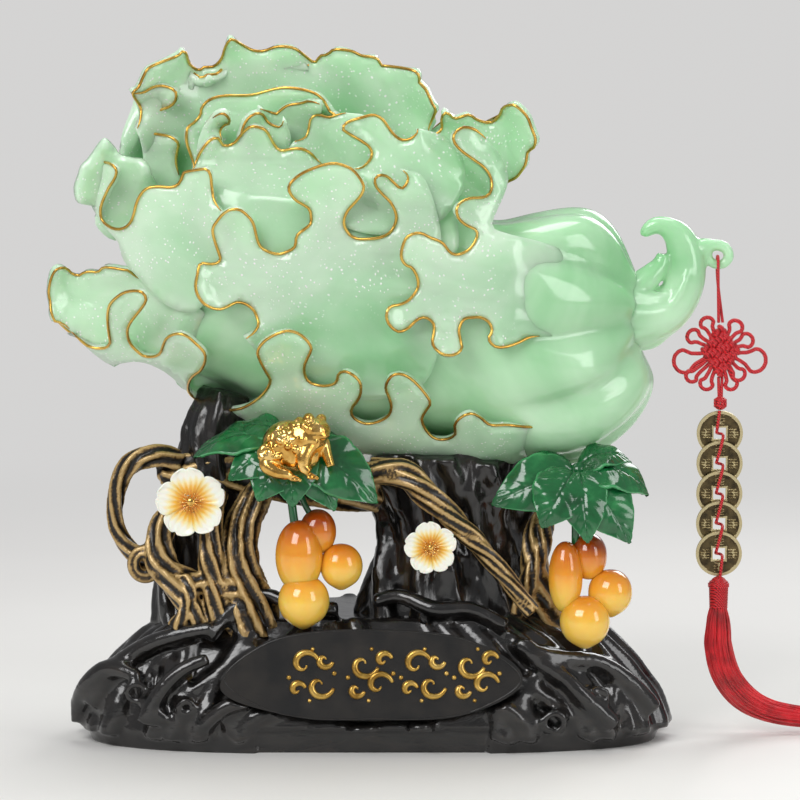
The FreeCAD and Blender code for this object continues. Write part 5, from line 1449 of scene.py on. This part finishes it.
# A plain pale floor that fades into the background, soft lamps and the camera
PALE = (0.66, 0.655, 0.65)
FADE_FROM, FADE_TO, FLOOR_RADIUS, FLOOR_SIDES = 0.3, 1.3, 6.0, 48
floor_material, tree, shader = surface("pale_floor", (0.80, 0.79, 0.77), 0.55)
place = place_of(tree)
coloured(tree, shader, cloudy(tree, 3.0, place=place), [(0.3, (0.78, 0.77, 0.75)), (0.7, (0.82, 0.81, 0.79))])
away = node(tree, "VectorMath", {0: place}, operation="LENGTH").outputs["Value"]
fade = node(tree, "MapRange", {"Value": away, "From Min": FADE_FROM, "From Max": FADE_TO, "To Min": 0.0,
                               "To Max": 1.0}, interpolation_type="SMOOTHSTEP")
glow = node(tree, "Emission", {"Color": (*PALE, 1), "Strength": 1.0})
seen_share = sums(tree, "MULTIPLY", fade.outputs[0], node(tree, "LightPath").outputs["Is Camera Ray"])
both = node(tree, "MixShader", {0: seen_share, 1: shader.outputs[0], 2: glow.outputs[0]})
tree.links.new(both.outputs[0], tree.nodes["Material Output"].inputs["Surface"])
turns = [2 * math.pi * k / FLOOR_SIDES for k in range(FLOOR_SIDES)]
rim = [(FLOOR_RADIUS * math.cos(turn), FLOOR_RADIUS * math.sin(turn), 0.0) for turn in turns]
floor_mesh = bpy.data.meshes.new("floor")
floor_mesh.from_pydata(rim, [], [tuple(range(FLOOR_SIDES))])
floor_mesh.materials.append(floor_material)
floor = bpy.data.objects.new("floor", floor_mesh)
bpy.context.scene.collection.objects.link(floor)

world = bpy.data.worlds.new("studio")
bpy.context.scene.world = world
world.use_nodes = True
tree = world.node_tree
light = mixed(tree, node(tree, "LightPath").outputs["Is Camera Ray"], (0.33, 0.33, 0.335, 1), (*PALE, 1))
tree.links.new(light, tree.nodes["Background"].inputs["Color"])


def lamp(name, place, towards, wide, tall, power):
    data = bpy.data.lights.new(name, "AREA")
    data.shape = "RECTANGLE"
    data.size, data.size_y, data.energy = wide, tall, power
    made = bpy.data.objects.new(name, data)
    made.location = place
    made.rotation_euler = (Vector(towards) - Vector(place)).to_track_quat("-Z", "Y").to_euler()
    bpy.context.scene.collection.objects.link(made)


lamp("key", (-0.75, -1.15, 1.15), (0, 0, 0.2), 0.9, 0.9, 17)
lamp("fill", (1.15, -0.95, 0.65), (0, 0, 0.2), 0.5, 1.0, 6)
lamp("top", (0.1, 0.25, 1.5), (0, 0, 0.25), 0.9, 0.6, 8)
lamp("rim", (0.6, 1.0, 0.8), (0, 0, 0.25), 0.6, 0.6, 5)

camera_data = bpy.data.cameras.new("camera")
camera_data.sensor_width = 36.0
camera_data.lens = 190.4
camera_data.clip_end = 20.0
camera = bpy.data.objects.new("camera", camera_data)
camera.location = (0.014, -2.1879, 0.406)
camera.rotation_euler = (Vector((0.014, 0, 0.176)) - camera.location).to_track_quat("-Z", "Y").to_euler()
bpy.context.scene.collection.objects.link(camera)
bpy.context.scene.camera = camera
bpy.context.scene.view_settings.view_transform = "Standard"
